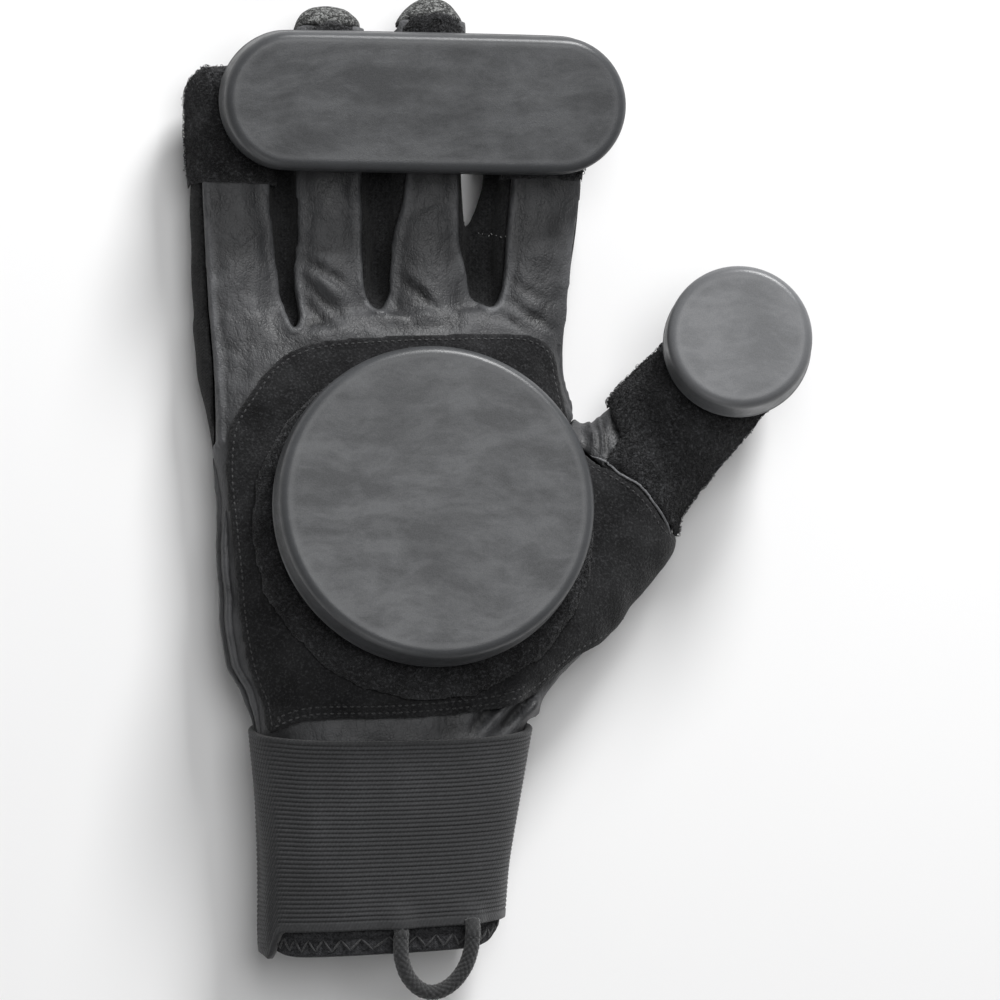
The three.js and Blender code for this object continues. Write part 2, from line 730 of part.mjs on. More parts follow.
// The cord comes out under the elastic's lower edge and lies on the front of the hem
function pullLoop() {
  const height = CUFF_DEPTH - CUFF_WALL - GAP + GAP + CORD_DIAMETER / 2;
  const edge = cuffLowerY - CUFF_LEAN * CUFF_LOWER_LEAN - 3 * GAP;
  const start = new THREE.Vector3(HAND_X + 0.026 * PALM_WIDTH, edge, height);
  const route = CORD_ROUTE.map((place) => new THREE.Vector3(...place).add(start));
  const path = new THREE.CatmullRomCurve3(route);
  const section = new THREE.Shape(circle(0, 0, CORD_DIAMETER / 2, 10).map(([x, y]) => new THREE.Vector2(x, y)));
  return new THREE.ExtrudeGeometry(section, { extrudePath: path, steps: 16, bevelEnabled: false });
}

const leather = { color: 0x3c3d3f, roughness: 0.5, metalness: 0 };
const suede = { color: 0x1e1f21, roughness: 0.95, metalness: 0 };
const loopPile = { color: 0x242527, roughness: 1, metalness: 0 };
const fabric = { color: 0x5a5c5b, roughness: 0.9, metalness: 0 };
const mesh = { color: 0x2b2c2e, roughness: 0.9, metalness: 0 };
const elastic = { color: 0x38393c, roughness: 0.85, metalness: 0 };
const plastic = { color: 0x55575a, roughness: 0.45, metalness: 0 };
const hook = { color: 0x18181a, roughness: 0.9, metalness: 0 };
const cord = { color: 0x2f3033, roughness: 0.9, metalness: 0 };

const glove = new THREE.Group();

function addPiece(name, geometry, finish) {
  const piece = new THREE.Mesh(geometry, new THREE.MeshStandardMaterial(finish));
  piece.name = name;
  glove.add(piece);
  return piece;
}

addPiece('palm_leather', geometryOf(palmLeather()), leather);
addPiece('back_fabric', geometryOf(backFabric()), fabric);
addPiece('fourchette_pinky_ring', geometryOf(fourchette(0)), mesh);
addPiece('fourchette_ring_middle', geometryOf(fourchette(1)), mesh);
addPiece('fourchette_middle_index', geometryOf(fourchette(2)), mesh);
addPiece('thumb_leather', geometryOf(thumbLeather()), leather);
addPiece('palm_patch', geometryOf(palmPatch()), suede);
addPiece('palm_loop', geometryOf(palmLoop()), loopPile);
for (const row of FINGERS) {
  addPiece(`${row.name}_loop`, geometryOf(fingerLoop(row)), loopPile);
}
addPiece('thumb_loop', geometryOf(thumbLoop()), loopPile);

// Each puck stands on its hook backing, which stands on the highest pile under it
function addPuck(name, matrix, halfLength, halfWidth, outlineAt, pileTop) {
  const height = seatHeight(hand(pileTop), matrix, halfLength, halfWidth);
  const outline = outlineAt(HOOK_INSET);
  addPiece(`${name}_hook`, geometryOf(hookBacking(outline, matrix, height, pileTop)), hook);
  const puck = addPiece(`${name}_puck`, puckGeometry(outlineAt), plastic);
  puck.applyMatrix4(matrix);
  puck.translateZ(height + GAP + HOOK_THICKNESS + GAP);
}

const palmRadius = PALM_PUCK_DIAMETER / 2;
addPuck(
  'palm',
  seatMatrix(palmPuckX, palmPuckY, PALM_PUCK_PLACE.leanAhead, PALM_PUCK_PLACE.leanAside, 0),
  palmRadius * 0.7,
  palmRadius * 0.7,
  (inset) => circle(0, 0, palmRadius - inset, 40),
  PALM_LOOP_TOP,
);

const fingerPuckY = KNUCKLE_Y + FINGER_PUCK_PLACE.y * FINGER_REACH;
addPuck(
  'finger',
  seatMatrix(
    HAND_X + FINGER_PUCK_PLACE.x * PALM_WIDTH,
    fingerPuckY,
    FINGER_PUCK_PLACE.leanAhead,
    FINGER_PUCK_PLACE.leanAside,
    1.2,
  ),
  FINGER_PUCK_LENGTH / 2,
  FINGER_PUCK_WIDTH / 2,
  (inset) => stadium(FINGER_PUCK_LENGTH - 2 * inset, FINGER_PUCK_WIDTH - 2 * inset, 32),
  LOOP_TOP,
);

function thumbSeat() {
  const place = THUMB_BASE.clone();
  place.addScaledVector(THUMB_AHEAD, THUMB_PUCK_PLACE.along * THUMB_LENGTH);
  place.addScaledVector(THUMB_LEVEL, THUMB_PUCK_PLACE.across * THUMB_WIDTH);
  const matrix = new THREE.Matrix4().makeBasis(THUMB_ACROSS, THUMB_AHEAD, THUMB_UP);
  return matrix.setPosition(place);
}

addPuck(
  'thumb',
  thumbSeat(),
  THUMB_PUCK_DIAMETER / 2,
  THUMB_PUCK_DIAMETER / 2,
  (inset) => circle(0, 0, THUMB_PUCK_DIAMETER / 2 - inset, 28),
  LOOP_TOP,
);

addPiece('cuff_elastic', geometryOf(cuffElastic()), elastic);
addPiece('cuff_hem', geometryOf(cuffHem()), fabric);

// The frame's origin is under the middle of the glove, without its cord
const body = new THREE.Box3().setFromObject(glove, true);
const middle = body.getCenter(new THREE.Vector3());
addPiece('pull_loop', pullLoop(), cord);
glove.position.set(-middle.x, -middle.y, -body.min.z);

export default glove;
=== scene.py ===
import bpy
import numpy as np
import openvdb
from mathutils import Matrix


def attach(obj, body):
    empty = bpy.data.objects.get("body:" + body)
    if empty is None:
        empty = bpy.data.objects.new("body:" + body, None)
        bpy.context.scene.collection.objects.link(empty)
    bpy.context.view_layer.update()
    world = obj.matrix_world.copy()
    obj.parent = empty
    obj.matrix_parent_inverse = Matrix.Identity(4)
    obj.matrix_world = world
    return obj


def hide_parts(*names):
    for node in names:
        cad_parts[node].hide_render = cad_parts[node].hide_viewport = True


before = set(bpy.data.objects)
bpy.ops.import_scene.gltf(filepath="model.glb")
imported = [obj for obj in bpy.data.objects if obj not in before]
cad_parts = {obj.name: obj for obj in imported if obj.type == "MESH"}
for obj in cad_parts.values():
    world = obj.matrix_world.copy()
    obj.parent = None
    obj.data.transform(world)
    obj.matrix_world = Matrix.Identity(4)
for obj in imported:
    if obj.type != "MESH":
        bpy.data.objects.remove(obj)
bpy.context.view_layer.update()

# The camera stands at the photograph's angle: 9 degrees from straight above towards
# the little finger and 4 degrees towards the wrist, far away, with a long lens.
LEAN_TO_LITTLE_FINGER = np.radians(9.0)
LEAN_TO_WRIST = np.radians(4.0)
# From the millimetres in which the glove was drawn to the frame's own
FRAME_OFFSET = np.array([-0.509086, -7.763985, 0.0])
CAMERA_DISTANCE = 1600.0
MM_PER_PIXEL = 0.28
SENSOR_WIDTH = 36.0
PICTURE_PIXELS = 1000

towards_camera = np.array([-np.sin(LEAN_TO_LITTLE_FINGER), -np.sin(LEAN_TO_WRIST), 0.0])
towards_camera[2] = np.sqrt(1 - towards_camera @ towards_camera)
camera_right = np.cross([0.0, 1.0, 0.0], towards_camera)
camera_right /= np.linalg.norm(camera_right)
camera_up = np.cross(towards_camera, camera_right)
camera_place = np.array([0.0, 0.0, 30.0]) + FRAME_OFFSET + CAMERA_DISTANCE * towards_camera

camera_data = bpy.data.cameras.new("camera")
camera_data.sensor_width = SENSOR_WIDTH
camera_data.lens = SENSOR_WIDTH * CAMERA_DISTANCE / (MM_PER_PIXEL * PICTURE_PIXELS)
camera_data.clip_end = 20.0
camera = bpy.data.objects.new("camera", camera_data)
bpy.context.scene.collection.objects.link(camera)
turned = np.eye(4)
turned[:3, :3] = np.stack([camera_right, camera_up, towards_camera], axis=1)
turned[:3, 3] = camera_place / 1000
camera.matrix_world = Matrix(turned.tolist())
bpy.context.scene.camera = camera

# The pull loop is a round braided cord, 4.4 mm thick. Both its ends are sewn to the
# hem under the elastic's lower edge, and it lies on the front of the hem.
CORD_DIAMETER = 4.4
CORD_START = np.array([-30.5376, -120.736, 38.9])
CORD_ROUTE = np.array([
    [1.6, 0, 0], [1.4, -3.5, -0.1], [1.8, -7.5, -0.6], [3.6, -12.0, -1.6], [7.2, -15.6, -2.6],
    [11.6, -16.4, -3.0], [16.2, -14.0, -2.6], [19.6, -9.4, -1.6], [21.2, -4.2, -0.6], [21.6, 0.4, 0],
])
CORD_TUCK = 3.2
CORD_SIDES = 40
CORD_STEPS = 220
CORD_STRANDS = 8
STRAND_PITCH = 1.9
STRAND_DEPTH = 0.42


UP = np.array([0.0, 0.0, 1.0])


def ring_angles(count):
    """Evenly spaced angles round a circle."""
    return np.linspace(0, 2 * np.pi, count, endpoint=False)


def through(points, count, closed=False):
    """A smooth line through points, as many places as count: between two neighbours it is
    the cubic whose slope at each point is half the way from the point before to the one after."""
    points = np.asarray(points, float)
    if closed:
        points = np.concatenate([points[-1:], points, points[:2]])
    else:
        points = np.concatenate([2 * points[:1] - points[1:2], points, 2 * points[-1:] - points[-2:-1]])
    spans = len(points) - 3
    along = np.linspace(0, spans, count, endpoint=not closed)
    first = np.minimum(along.astype(int), spans - 1)
    t = (along - first)[:, None]
    a, b, c, d = (points[first + k] for k in range(4))
    return 0.5 * (2 * b + (c - a) * t + (2 * a - 5 * b + 4 * c - d) * t**2 + (3 * b - a - 3 * c + d) * t**3)


def carried_frames(line, upwards):
    """Directions along a line: ahead is its slope, side is ahead crossed with upwards, and up is
    side crossed with ahead, each of length one."""
    ahead = np.gradient(line, axis=0)
    ahead /= np.linalg.norm(ahead, axis=1, keepdims=True)
    side = np.cross(ahead, upwards)
    side /= np.linalg.norm(side, axis=1, keepdims=True)
    return ahead, side, np.cross(side, ahead)


def add_mesh(name, points, faces, materials, smooth=True):
    """A mesh object from millimetre points and four-cornered faces, at the origin. A face that names
    one point twice running becomes a triangle."""
    points = (np.asarray(points, float) + FRAME_OFFSET) / 1000
    faces = np.asarray(faces, np.int32)
    kept = faces != np.roll(faces, 1, axis=1)
    faces, kept = faces[kept.sum(1) > 2], kept[kept.sum(1) > 2]
    corners, counts = faces[kept], kept.sum(1)
    mesh = bpy.data.meshes.new(name)
    mesh.vertices.add(len(points))
    mesh.vertices.foreach_set("co", points.astype(np.float32).ravel())
    mesh.loops.add(len(corners))
    mesh.loops.foreach_set("vertex_index", corners)
    mesh.polygons.add(len(faces))
    mesh.polygons.foreach_set("loop_start", (np.cumsum(counts) - counts).astype(np.int32))
    mesh.update(calc_edges=True)
    mesh.polygons.foreach_set("use_smooth", np.full(len(faces), smooth))
    piece = bpy.data.objects.new(name, mesh)
    bpy.context.scene.collection.objects.link(piece)
    for material in materials:
        mesh.materials.append(material)
    return piece


def mark(piece, name, values):
    """Keeps one number a point on a piece's mesh, for its material to read."""
    attribute = piece.data.attributes.new(name, "FLOAT", "POINT")
    attribute.data.foreach_set("value", np.asarray(values, np.float32).ravel())


def faces_of(numbers, close_rows=False):
    """Four-cornered faces between the rows of a table of point numbers. Its columns close round,
    and its rows too if asked."""
    after = np.roll(numbers, -1, axis=0)
    corners = [numbers, np.roll(numbers, -1, axis=1), np.roll(after, -1, axis=1), after]
    return np.stack(corners if close_rows else [corner[:-1] for corner in corners], axis=-1).reshape(-1, 4)


def wrapped_grid(rows, columns, close_rows=False):
    """The faces of a grid of points, row after row."""
    return faces_of(np.arange(rows * columns).reshape(rows, columns), close_rows)


def capped(grid, first_hub, last_hub):
    """Closes both open ends of a round grid with a fan of triangles round a hub."""
    rows, columns = grid.shape[:2]
    numbers = np.zeros((rows + 2, columns), int)
    numbers[1:-1] = 1 + np.arange(rows * columns).reshape(rows, columns)
    numbers[-1] = 1 + rows * columns
    return np.concatenate([first_hub[None], grid.reshape(-1, 3), last_hub[None]]), faces_of(numbers)


def settle(piece, node=None):
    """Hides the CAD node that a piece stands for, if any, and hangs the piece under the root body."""
    if node:
        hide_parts(node)
    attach(piece, "root")


def add_node(tree, kind, settings=None, **inputs):
    """A shader node with its settings, and inputs that are numbers, colours or other sockets. An
    input goes by its name, or by n and its number where several share a name."""
    made = tree.nodes.new(kind)
    for name, value in (settings or {}).items():
        setattr(made, name, value)
    for name, value in inputs.items():
        socket = made.inputs[int(name[1:]) if name[0] == "n" and name[1:].isdigit() else name.replace("_", " ")]
        if isinstance(value, bpy.types.NodeSocket):
            tree.links.new(value, socket)
        else:
            socket.default_value = value
    return made


class Finish:
    """A material under construction: its tree, its shader and short ways to add nodes."""

    def __init__(self, name, **constants):
        self.material = bpy.data.materials.new(name)
        self.material.use_nodes = True
        self.tree = self.material.node_tree
        self.shader = self.tree.nodes["Principled BSDF"]
        for socket, value in constants.items():
            self.shader.inputs[socket.replace("_", " ")].default_value = value
        self.place = add_node(self.tree, "ShaderNodeTexCoord").outputs["Object"]

    def read(self, attribute):
        """The number that mark() kept at each point."""
        return add_node(self.tree, "ShaderNodeAttribute", {"attribute_name": attribute}).outputs["Fac"]

    def use(self, group, **inputs):
        """A shared group's outputs, at this material's place."""
        return add_node(self.tree, "ShaderNodeGroup", {"node_tree": group}, Vector=self.place, **inputs).outputs

    def put(self, socket, value):
        self.tree.links.new(value, self.shader.inputs[socket])

    def relief(self, *layers):
        """Bumps over one another: the height, distance in metres and strength of each."""
        under = {}
        for height, distance, strength in layers:
            bump = add_node(self.tree, "ShaderNodeBump", Height=height, Distance=distance, Strength=strength, **under)
            under = {"Normal": bump.outputs["Normal"]}
        self.put("Normal", under["Normal"])


def math_of(operation, *values):
    """One step of arithmetic on sockets or numbers, in the tree of the first socket."""
    tree = next(value.id_data for value in values if isinstance(value, bpy.types.NodeSocket))
    inputs = {f"n{i}": value for i, value in enumerate(values)}
    return add_node(tree, "ShaderNodeMath", {"operation": operation}, **inputs).outputs[0]


def times(first, second):
    """The product of two sockets or numbers."""
    return math_of("MULTIPLY", first, second)


def weighted(first, first_share, second, second_share):
    """The sum of two values, each times its share."""
    return math_of("MULTIPLY_ADD", first, first_share, times(second, second_share))


def mixed(share, low, high):
    """A colour between two others by a share from 0 to 1. Each is a socket, or red, green and blue."""
    low, high = ((*end, 1) if isinstance(end, tuple) else end for end in (low, high))
    return add_node(share.id_data, "ShaderNodeMix", {"data_type": "RGBA"}, n0=share, n6=low, n7=high).outputs[2]


def scaled(colour, factor):
    """A colour made lighter or darker by a factor."""
    return tuple(factor * part for part in colour)


def ranged(value, low, high, to_low=0.0, to_high=1.0):
    """A value stretched from one range to another and held inside it."""
    made = add_node(
        value.id_data, "ShaderNodeMapRange", Value=value, From_Min=low, From_Max=high, To_Min=to_low, To_Max=to_high)
    return made.outputs["Result"]


def noise(place, scale, detail=3.0, roughness=0.55, stretch=None):
    """A cloudy value from 0 to 1, with scale clouds a metre, stretched along an axis if asked."""
    tree = place.id_data
    if stretch is not None:
        place = add_node(tree, "ShaderNodeMapping", Vector=place, Scale=stretch).outputs[0]
    made = add_node(tree, "ShaderNodeTexNoise", Vector=place, Scale=scale, Detail=detail, Roughness=roughness)
    return made.outputs["Fac"]


def new_group(name, size, value):
    """A shader node group under construction, with the sockets of its two inputs: a place, and a
    size that has a name and a first value."""
    group = bpy.data.node_groups.new(name, "ShaderNodeTree")
    group.interface.new_socket("Vector", in_out="INPUT", socket_type="NodeSocketVector")
    group.interface.new_socket(size, in_out="INPUT", socket_type="NodeSocketFloat").default_value = value
    given = group.nodes.new("NodeGroupInput").outputs
    return group, given["Vector"], given[size]


def give(group, **values):
    """Ends a group with the numbers that it puts out."""
    for label in values:
        group.interface.new_socket(label, in_out="OUTPUT", socket_type="NodeSocketFloat")
    result = group.nodes.new("NodeGroupOutput").inputs
    for label, value in values.items():
        group.links.new(value, result[label])


# Fine thread: noise of a fibre's size, for every cloth, cord and stitch
fibre_group, place, scale = new_group("fibre", "Scale", 4000.0)
flecks = noise(place, times(scale, 0.31), 2.0, 0.6)
give(fibre_group, Height=noise(place, scale, 4.0, 0.7), Fleck=ranged(flecks, 0.42, 0.66))

cord_finish = Finish("braided cord", Roughness=0.72, Sheen_Weight=0.25, Sheen_Roughness=0.5)
cord_fibre = cord_finish.use(fibre_group, Scale=5200.0)
# Painted shade: the colour is darker in the grooves between the strands, where the strand mark is low
cord_tone = weighted(cord_fibre["Fleck"], 0.3, cord_finish.read("strand"), 0.7)
cord_finish.put("Base Color", mixed(cord_tone, (0.003, 0.003, 0.0034), (0.032, 0.033, 0.035)))
cord_finish.relief((cord_fibre["Height"], 0.00018, 1.0))

cord_path = through(CORD_ROUTE + CORD_START, 31)
tucked = np.array([0.0, CORD_TUCK, -1.1])
cord_line = through(np.concatenate([cord_path[:1] + tucked, cord_path, cord_path[-1:] + tucked]), CORD_STEPS)
_, cord_side, cord_up = carried_frames(cord_line, UP)
cord_run = np.concatenate([[0], np.cumsum(np.linalg.norm(np.diff(cord_line, axis=0), axis=1))])
cord_angle = ring_angles(CORD_SIDES)[None, :]
# Two sets of strands wind round the cord in opposite directions and leave diamonds in relief
cord_twist = np.pi * cord_run[:, None] / STRAND_PITCH
right_strand = np.abs(np.sin(CORD_STRANDS / 2 * cord_angle - cord_twist))
left_strand = np.abs(np.sin(CORD_STRANDS / 2 * cord_angle + cord_twist))
strand = np.sqrt(right_strand * left_strand)
cord_radius = CORD_DIAMETER / 2 - STRAND_DEPTH * (1 - strand)
cord_points = (
    cord_line[:, None] + cord_side[:, None] * (cord_radius * np.cos(cord_angle))[..., None]
    + cord_up[:, None] * (cord_radius * np.sin(cord_angle))[..., None]
)
points, faces = capped(cord_points, cord_line[0], cord_line[-1])
pull_loop = add_mesh("pull_loop_cord", points, faces[:, ::-1], [cord_finish.material])
# The strand mark is high on the strands' crests and low between them, for the painted shade
mark(pull_loop, "strand", np.concatenate([strand[0, :1], strand.ravel(), strand[-1, :1]]))
settle(pull_loop, "pull_loop")
cord_path = (cord_path + FRAME_OFFSET) / 1000

# The floor is a plain pale sheet under the glove, lit by soft lights from above.
FLOOR_SIZE = 6.0
FLOOR_DROP = 0.05
floor_finish = Finish("pale floor", Roughness=0.9)
floor_finish.put("Base Color", mixed(noise(floor_finish.place, 6.0), (0.86, 0.86, 0.865), (0.89, 0.89, 0.89)))
half = FLOOR_SIZE * 500
floor_corners = [(x * half, y * half, -FLOOR_DROP) for x, y in ((-1, -1), (1, -1), (1, 1), (-1, 1))]
floor = add_mesh("floor", floor_corners, [[0, 1, 2, 3]], [floor_finish.material], smooth=False)


def add_light(name, place, size, power):
    """A square soft light that shines at the middle of the glove."""
    data = bpy.data.lights.new(name, "AREA")
    data.shape = "SQUARE"
    data.size = size
    data.energy = power
    light = bpy.data.objects.new(name, data)
    bpy.context.scene.collection.objects.link(light)
    away = np.array(place) / np.linalg.norm(place)
    side = np.cross([0.0, 1.0, 0.001], away)
    side /= np.linalg.norm(side)
    stand = np.eye(4)
    stand[:3, :3] = np.stack([side, np.cross(away, side), away], axis=1)
    stand[:3, 3] = place
    light.matrix_world = Matrix(stand.tolist())


# Each light's place and size in metres, and its power in watts
LIGHTS = {
    "key_light": ((0.45, 1.25, 0.8), 0.45, 27.0), "top_light": ((0.1, 0.3, 1.6), 0.9, 11.0),
    "fill_light": ((-0.5, -1.1, 0.6), 0.7, 2.4),
}
WORLD_STRENGTH = 0.14
for name, values in LIGHTS.items():
    add_light(name, *values)
world = bpy.data.worlds.new("studio")
world.use_nodes = True
background = world.node_tree.nodes["Background"].inputs
background["Color"].default_value = (1, 1, 1, 1)
background["Strength"].default_value = WORLD_STRENGTH
bpy.context.scene.world = world
bpy.context.scene.view_settings.view_transform = "Standard"

# The palm and the fronts of the fingers are one panel of soft grain leather, cut to the
# hand's shape. Its edges are rolled under where they are sewn to the other panels.
VOXEL = 0.88
HAND_LOW = np.array([-93.0, -84.0, -3.0])
HAND_HIGH = np.array([94.0, 148.5, 42.0])
LEATHER_WALL = 1.8
# y, left x, right x, lowest z, highest z, how boxy, and how far the right side runs ahead
PALM_SECTIONS = np.array([
    [-84.0, -66.4, 7.1, 2.2, 36.4, 2.5, 2.0],
    [-70.5, -66.4, 7.1, 2.2, 36.4, 2.5, 2.0],
    [-63.2, -67.1, 8.5, 2.2, 36.4, 2.5, 1.8],
    [-54.4, -69.7, 14.5, -2.0, 34.2, 2.6, 1.2],
    [-45.1, -74.5, 23.7, -2.0, 33.5, 2.7, 0.0],
    [-33.3, -76.0, 34.4, -2.0, 32.5, 2.8, 0.0],
    [-20.3, -76.6, 44.8, -2.0, 31.5, 2.8, 0.0],
    [-7.9, -77.0, 51.2, -2.0, 30.5, 2.8, 0.0],
    [2.1, -77.4, 48.7, -2.0, 29.5, 2.8, 0.0],
    [12.0, -78.7, 36.0, -2.0, 28.5, 2.8, 0.0],
    [21.9, -80.4, 24.8, -2.0, 27.1, 2.8, 0.0],
    [32.4, -81.9, 21.1, -2.0, 25.8, 2.7, 1.2],
    [43.6, -83.3, 18.3, -2.0, 23.8, 2.6, 3.7],
    [51.7, -83.8, 17.8, -2.0, 21.1, 2.5, 5.0],
    [54.8, -82.9, 16.9, -2.0, 17.0, 2.3, 5.0],
])
PALM_END = 56.0
# name, x at the root, x and y at the tip, widths at root, middle and tip
FINGERS = [
    ("pinky", -71.5, -75.5, 123.0, (24.6, 23.5, 21.3)),
    ("ring", -45.0, -47.0, 141.1, (24.2, 21.3, 20.7)),
    ("middle", -18.5, -17.8, 143.5, (24.2, 21.1, 21.3)),
    ("index", 8.8, 17.7, 131.1, (21.6, 24.9, 22.0)),
]
FINGER_START = 39.0
FINGER_DEPTH = 19.5
FINGER_DOME = 11.0
FINGER_RISE = ((0, 0.5, 0.75, 1), (10.1, 10.3, 11.7, 14.8))
# How far up the hand each gap's left and right strips bulge
STRIP_ENDS = ((112.0, 112.0), (128.0, 128.0), (58.0, 112.0))
# Where the strip of the index finger ends towards the middle finger: y and x
INDEX_STRIP_EDGE = [(44, -9.0), (70, -9.4), (74, -8.3), (78, -6.2), (84, -4.2), (92, -2.6), (104, -1.4), (115, 0.0)]
STRIP_HEIGHT = 7.8
STRIP_HALF_DEPTH = 3.4
THUMB_BASE = np.array([31.72, 1.44])
THUMB_ANGLE = np.radians(47.3)
THUMB_ROLL = np.radians(9.7)
THUMB_LENGTH = 71.0
THUMB_DOME = 14.0
THUMB_PLACES = (0, 0.2, 0.45, 0.7, 1)
THUMB_WIDTHS = (32.7, 33.4, 32.4, 30.1, 28.1)
THUMB_DEPTHS = (21.6, 22.0, 22.0, 21.3, 19.8)
THUMB_HEIGHTS = (15.4, 15.4, 15.7, 16.1, 15.4)

counts = np.ceil((HAND_HIGH - HAND_LOW) / VOXEL).astype(int) + 1
xs, ys, zs = (HAND_LOW[k] + VOXEL * np.arange(counts[k]) for k in range(3))
X, Y, Z = (axis.astype(np.float32) for axis in (xs[:, None, None], ys[None, :, None], zs[None, None, :]))


def eased(places, values, at):
    """A smooth curve through a short table: cubic pieces whose slope at each row is the harmonic
    mean of the slopes beside it, so that it never swings past a row. It is level beyond the ends."""
    places, values = np.asarray(places, float), np.asarray(values, float)
    steps = np.diff(values) / np.diff(places)
    slopes = np.zeros(len(values))
    same_way = steps[:-1] * steps[1:] > 0
    total = np.where(same_way, steps[:-1] + steps[1:], 1)
    slopes[1:-1] = np.where(same_way, 2 * steps[:-1] * steps[1:] / total, 0)
    row = np.clip(np.searchsorted(places, at) - 1, 0, len(places) - 2)
    width = places[row + 1] - places[row]
    t = np.clip((at - places[row]) / width, 0, 1)
    low, high = values[row], values[row + 1]
    curve = low + (high - low) * t * t * (3 - 2 * t)
    curve = curve + width * t * (1 - t) * (slopes[row] * (1 - t) - slopes[row + 1] * t)
    return curve.astype(np.float32)


def eased_step(value, low, high):
    """0 below low, 1 above high, and a smooth cubic step between them."""
    t = np.clip((value - low) / (high - low), 0, 1)
    return t * t * (3 - 2 * t)


def to_distance(share):
    """A form that is 1 on a surface, made into millimetres from it: how far it is from 1, over
    its steepness there."""
    steep = np.sqrt(sum(slope * slope for slope in np.gradient(share, VOXEL)))
    return (share - 1) / np.maximum(steep, 0.02)


def melted(a, b, width):
    """Two distances joined into one form, with a fillet of about a width where they meet."""
    t = np.clip(0.5 + 0.5 * (b - a) / width, 0, 1)
    return b + (a - b) * t - width * t * (1 - t)


def trimmed(a, b, width):
    """What two forms share, with a rounded edge of about a width."""
    return -melted(-a, -b, width)


def boxy_round(across, up, square):
    """1 on a rounded box of half size 1: the shares' absolute values to a power, summed, and the
    root of that."""
    return (np.abs(across) ** square + np.abs(up) ** square) ** (1 / square)


def cloudy(x, y, low, high, seed, waves=22):
    """Soft random relief from -1 to 1: waves in seeded directions, whose lengths lie between low
    and high, summed."""
    dice = np.random.default_rng(seed)
    turns, lengths, starts = (dice.uniform(*span, waves) for span in ((0, np.pi), (low, high), (0, 6.3)))
    total = 0
    for turn, length, start in zip(turns, lengths, starts):
        total = total + np.sin(2 * np.pi * (x * np.cos(turn) + y * np.sin(turn)) / length + start)
    return (total / np.sqrt(waves)).astype(np.float32)


palm_middle = eased(PALM_SECTIONS[:, 0], PALM_SECTIONS[:, 1:3].mean(1), ys)[None, :, None]
palm_width = eased(PALM_SECTIONS[:, 0], PALM_SECTIONS[:, 2] - PALM_SECTIONS[:, 1], ys)[None, :, None]
palm_slant = eased(PALM_SECTIONS[:, 0], PALM_SECTIONS[:, 6], ys)[None, :, None]
section_y = (Y - palm_slant / palm_width * (X - palm_middle))[..., 0]
palm_left, palm_right, palm_low, palm_high, palm_square = (
    eased(PALM_SECTIONS[:, 0], PALM_SECTIONS[:, k], section_y)[..., None] for k in range(1, 6)
)
palm_form = to_distance(boxy_round(
    (X - (palm_left + palm_right) / 2) / ((palm_right - palm_left) / 2),
    (Z - (palm_low + palm_high) / 2) / ((palm_high - palm_low) / 2), palm_square,
))
palm_form = trimmed(palm_form, section_y[..., None] - PALM_END, 5.0)


def finger_middle(root_x, tip_x, tip_y, y):
    """Where a finger's middle line passes a y: on the straight line from its root to its tip."""
    return root_x + (tip_x - root_x) * (y - FINGER_START) / (tip_y - FINGER_START)


def finger_half_width(widths, share):
    """Half a finger's width at a share of its length, eased from its root to its tip."""
    return eased((0, 0.15, 0.55, 1), np.array([0.9 * widths[0], *widths]) / 2, share)


fingers_form = np.full(palm_form.shape, 60.0, np.float32)
for name, root_x, tip_x, tip_y, widths in FINGERS:
    block = np.s_[
        np.searchsorted(xs, min(root_x, tip_x) - 21):np.searchsorted(xs, max(root_x, tip_x) + 21),
        np.searchsorted(ys, FINGER_START - 16):len(ys), :,
    ]
    bx, by = X[block[0]], Y[:, block[1]]
    length = np.hypot(tip_x - root_x, tip_y - FINGER_START)
    ahead = np.array([tip_x - root_x, tip_y - FINGER_START]) / length
    run = (bx - root_x) * ahead[0] + (by - FINGER_START) * ahead[1]
    across = (bx - root_x) * ahead[1] - (by - FINGER_START) * ahead[0]
    share = run / length
    half_width = finger_half_width(widths, share)
    height = eased(*FINGER_RISE, share)
    section = boxy_round(across / half_width, (Z - height) / (FINGER_DEPTH / 2), 2.3)
    past_tip = np.maximum(0, run - (length - FINGER_DOME)) / FINGER_DOME
    past_root = np.maximum(0, -run) / 14.0
    form = to_distance(np.sqrt(section**2 + past_tip**2 + past_root**2))
    fingers_form[block] = np.minimum(fingers_form[block], form)

# In the lower half of each gap the fingers' side strips bulge until they touch
strips_form = np.full(palm_form.shape, 60.0, np.float32)
for left, right, ends in zip(FINGERS[:-1], FINGERS[1:], STRIP_ENDS):
    left_edge, right_edge = (
        finger_middle(*row[1:4], Y) + side * finger_half_width(row[4], (Y - FINGER_START) / (row[3] - FINGER_START))
        for row, side in ((left, 1), (right, -1))
    )
    crease = (left_edge + right_edge) / 2 + 0.5 * cloudy(Y, 0.0, 12.0, 30.0, 70)
    if right[0] == "index":
        crease = np.interp(Y, *np.array(INDEX_STRIP_EDGE).T)
    for low_edge, high_edge, end, seed in (
        (left_edge - 0.8, crease, ends[0], 71), (crease, right_edge + 0.8, ends[1], 72),
    ):
        radius = np.maximum((high_edge - low_edge) / 2, 0.3) + 0.15
        rise = STRIP_HEIGHT + 0.9 * cloudy(Y, 5.0, 10.0, 26.0, seed)
        share = np.sqrt(((X - (low_edge + high_edge) / 2) / radius) ** 2 + ((Z - rise) / STRIP_HALF_DEPTH) ** 2)
        strips_form = np.minimum(strips_form, np.maximum((share - 1) * radius, np.maximum(Y - end, 44.0 - Y)))
fingers_form = melted(fingers_form, strips_form, 1.5)

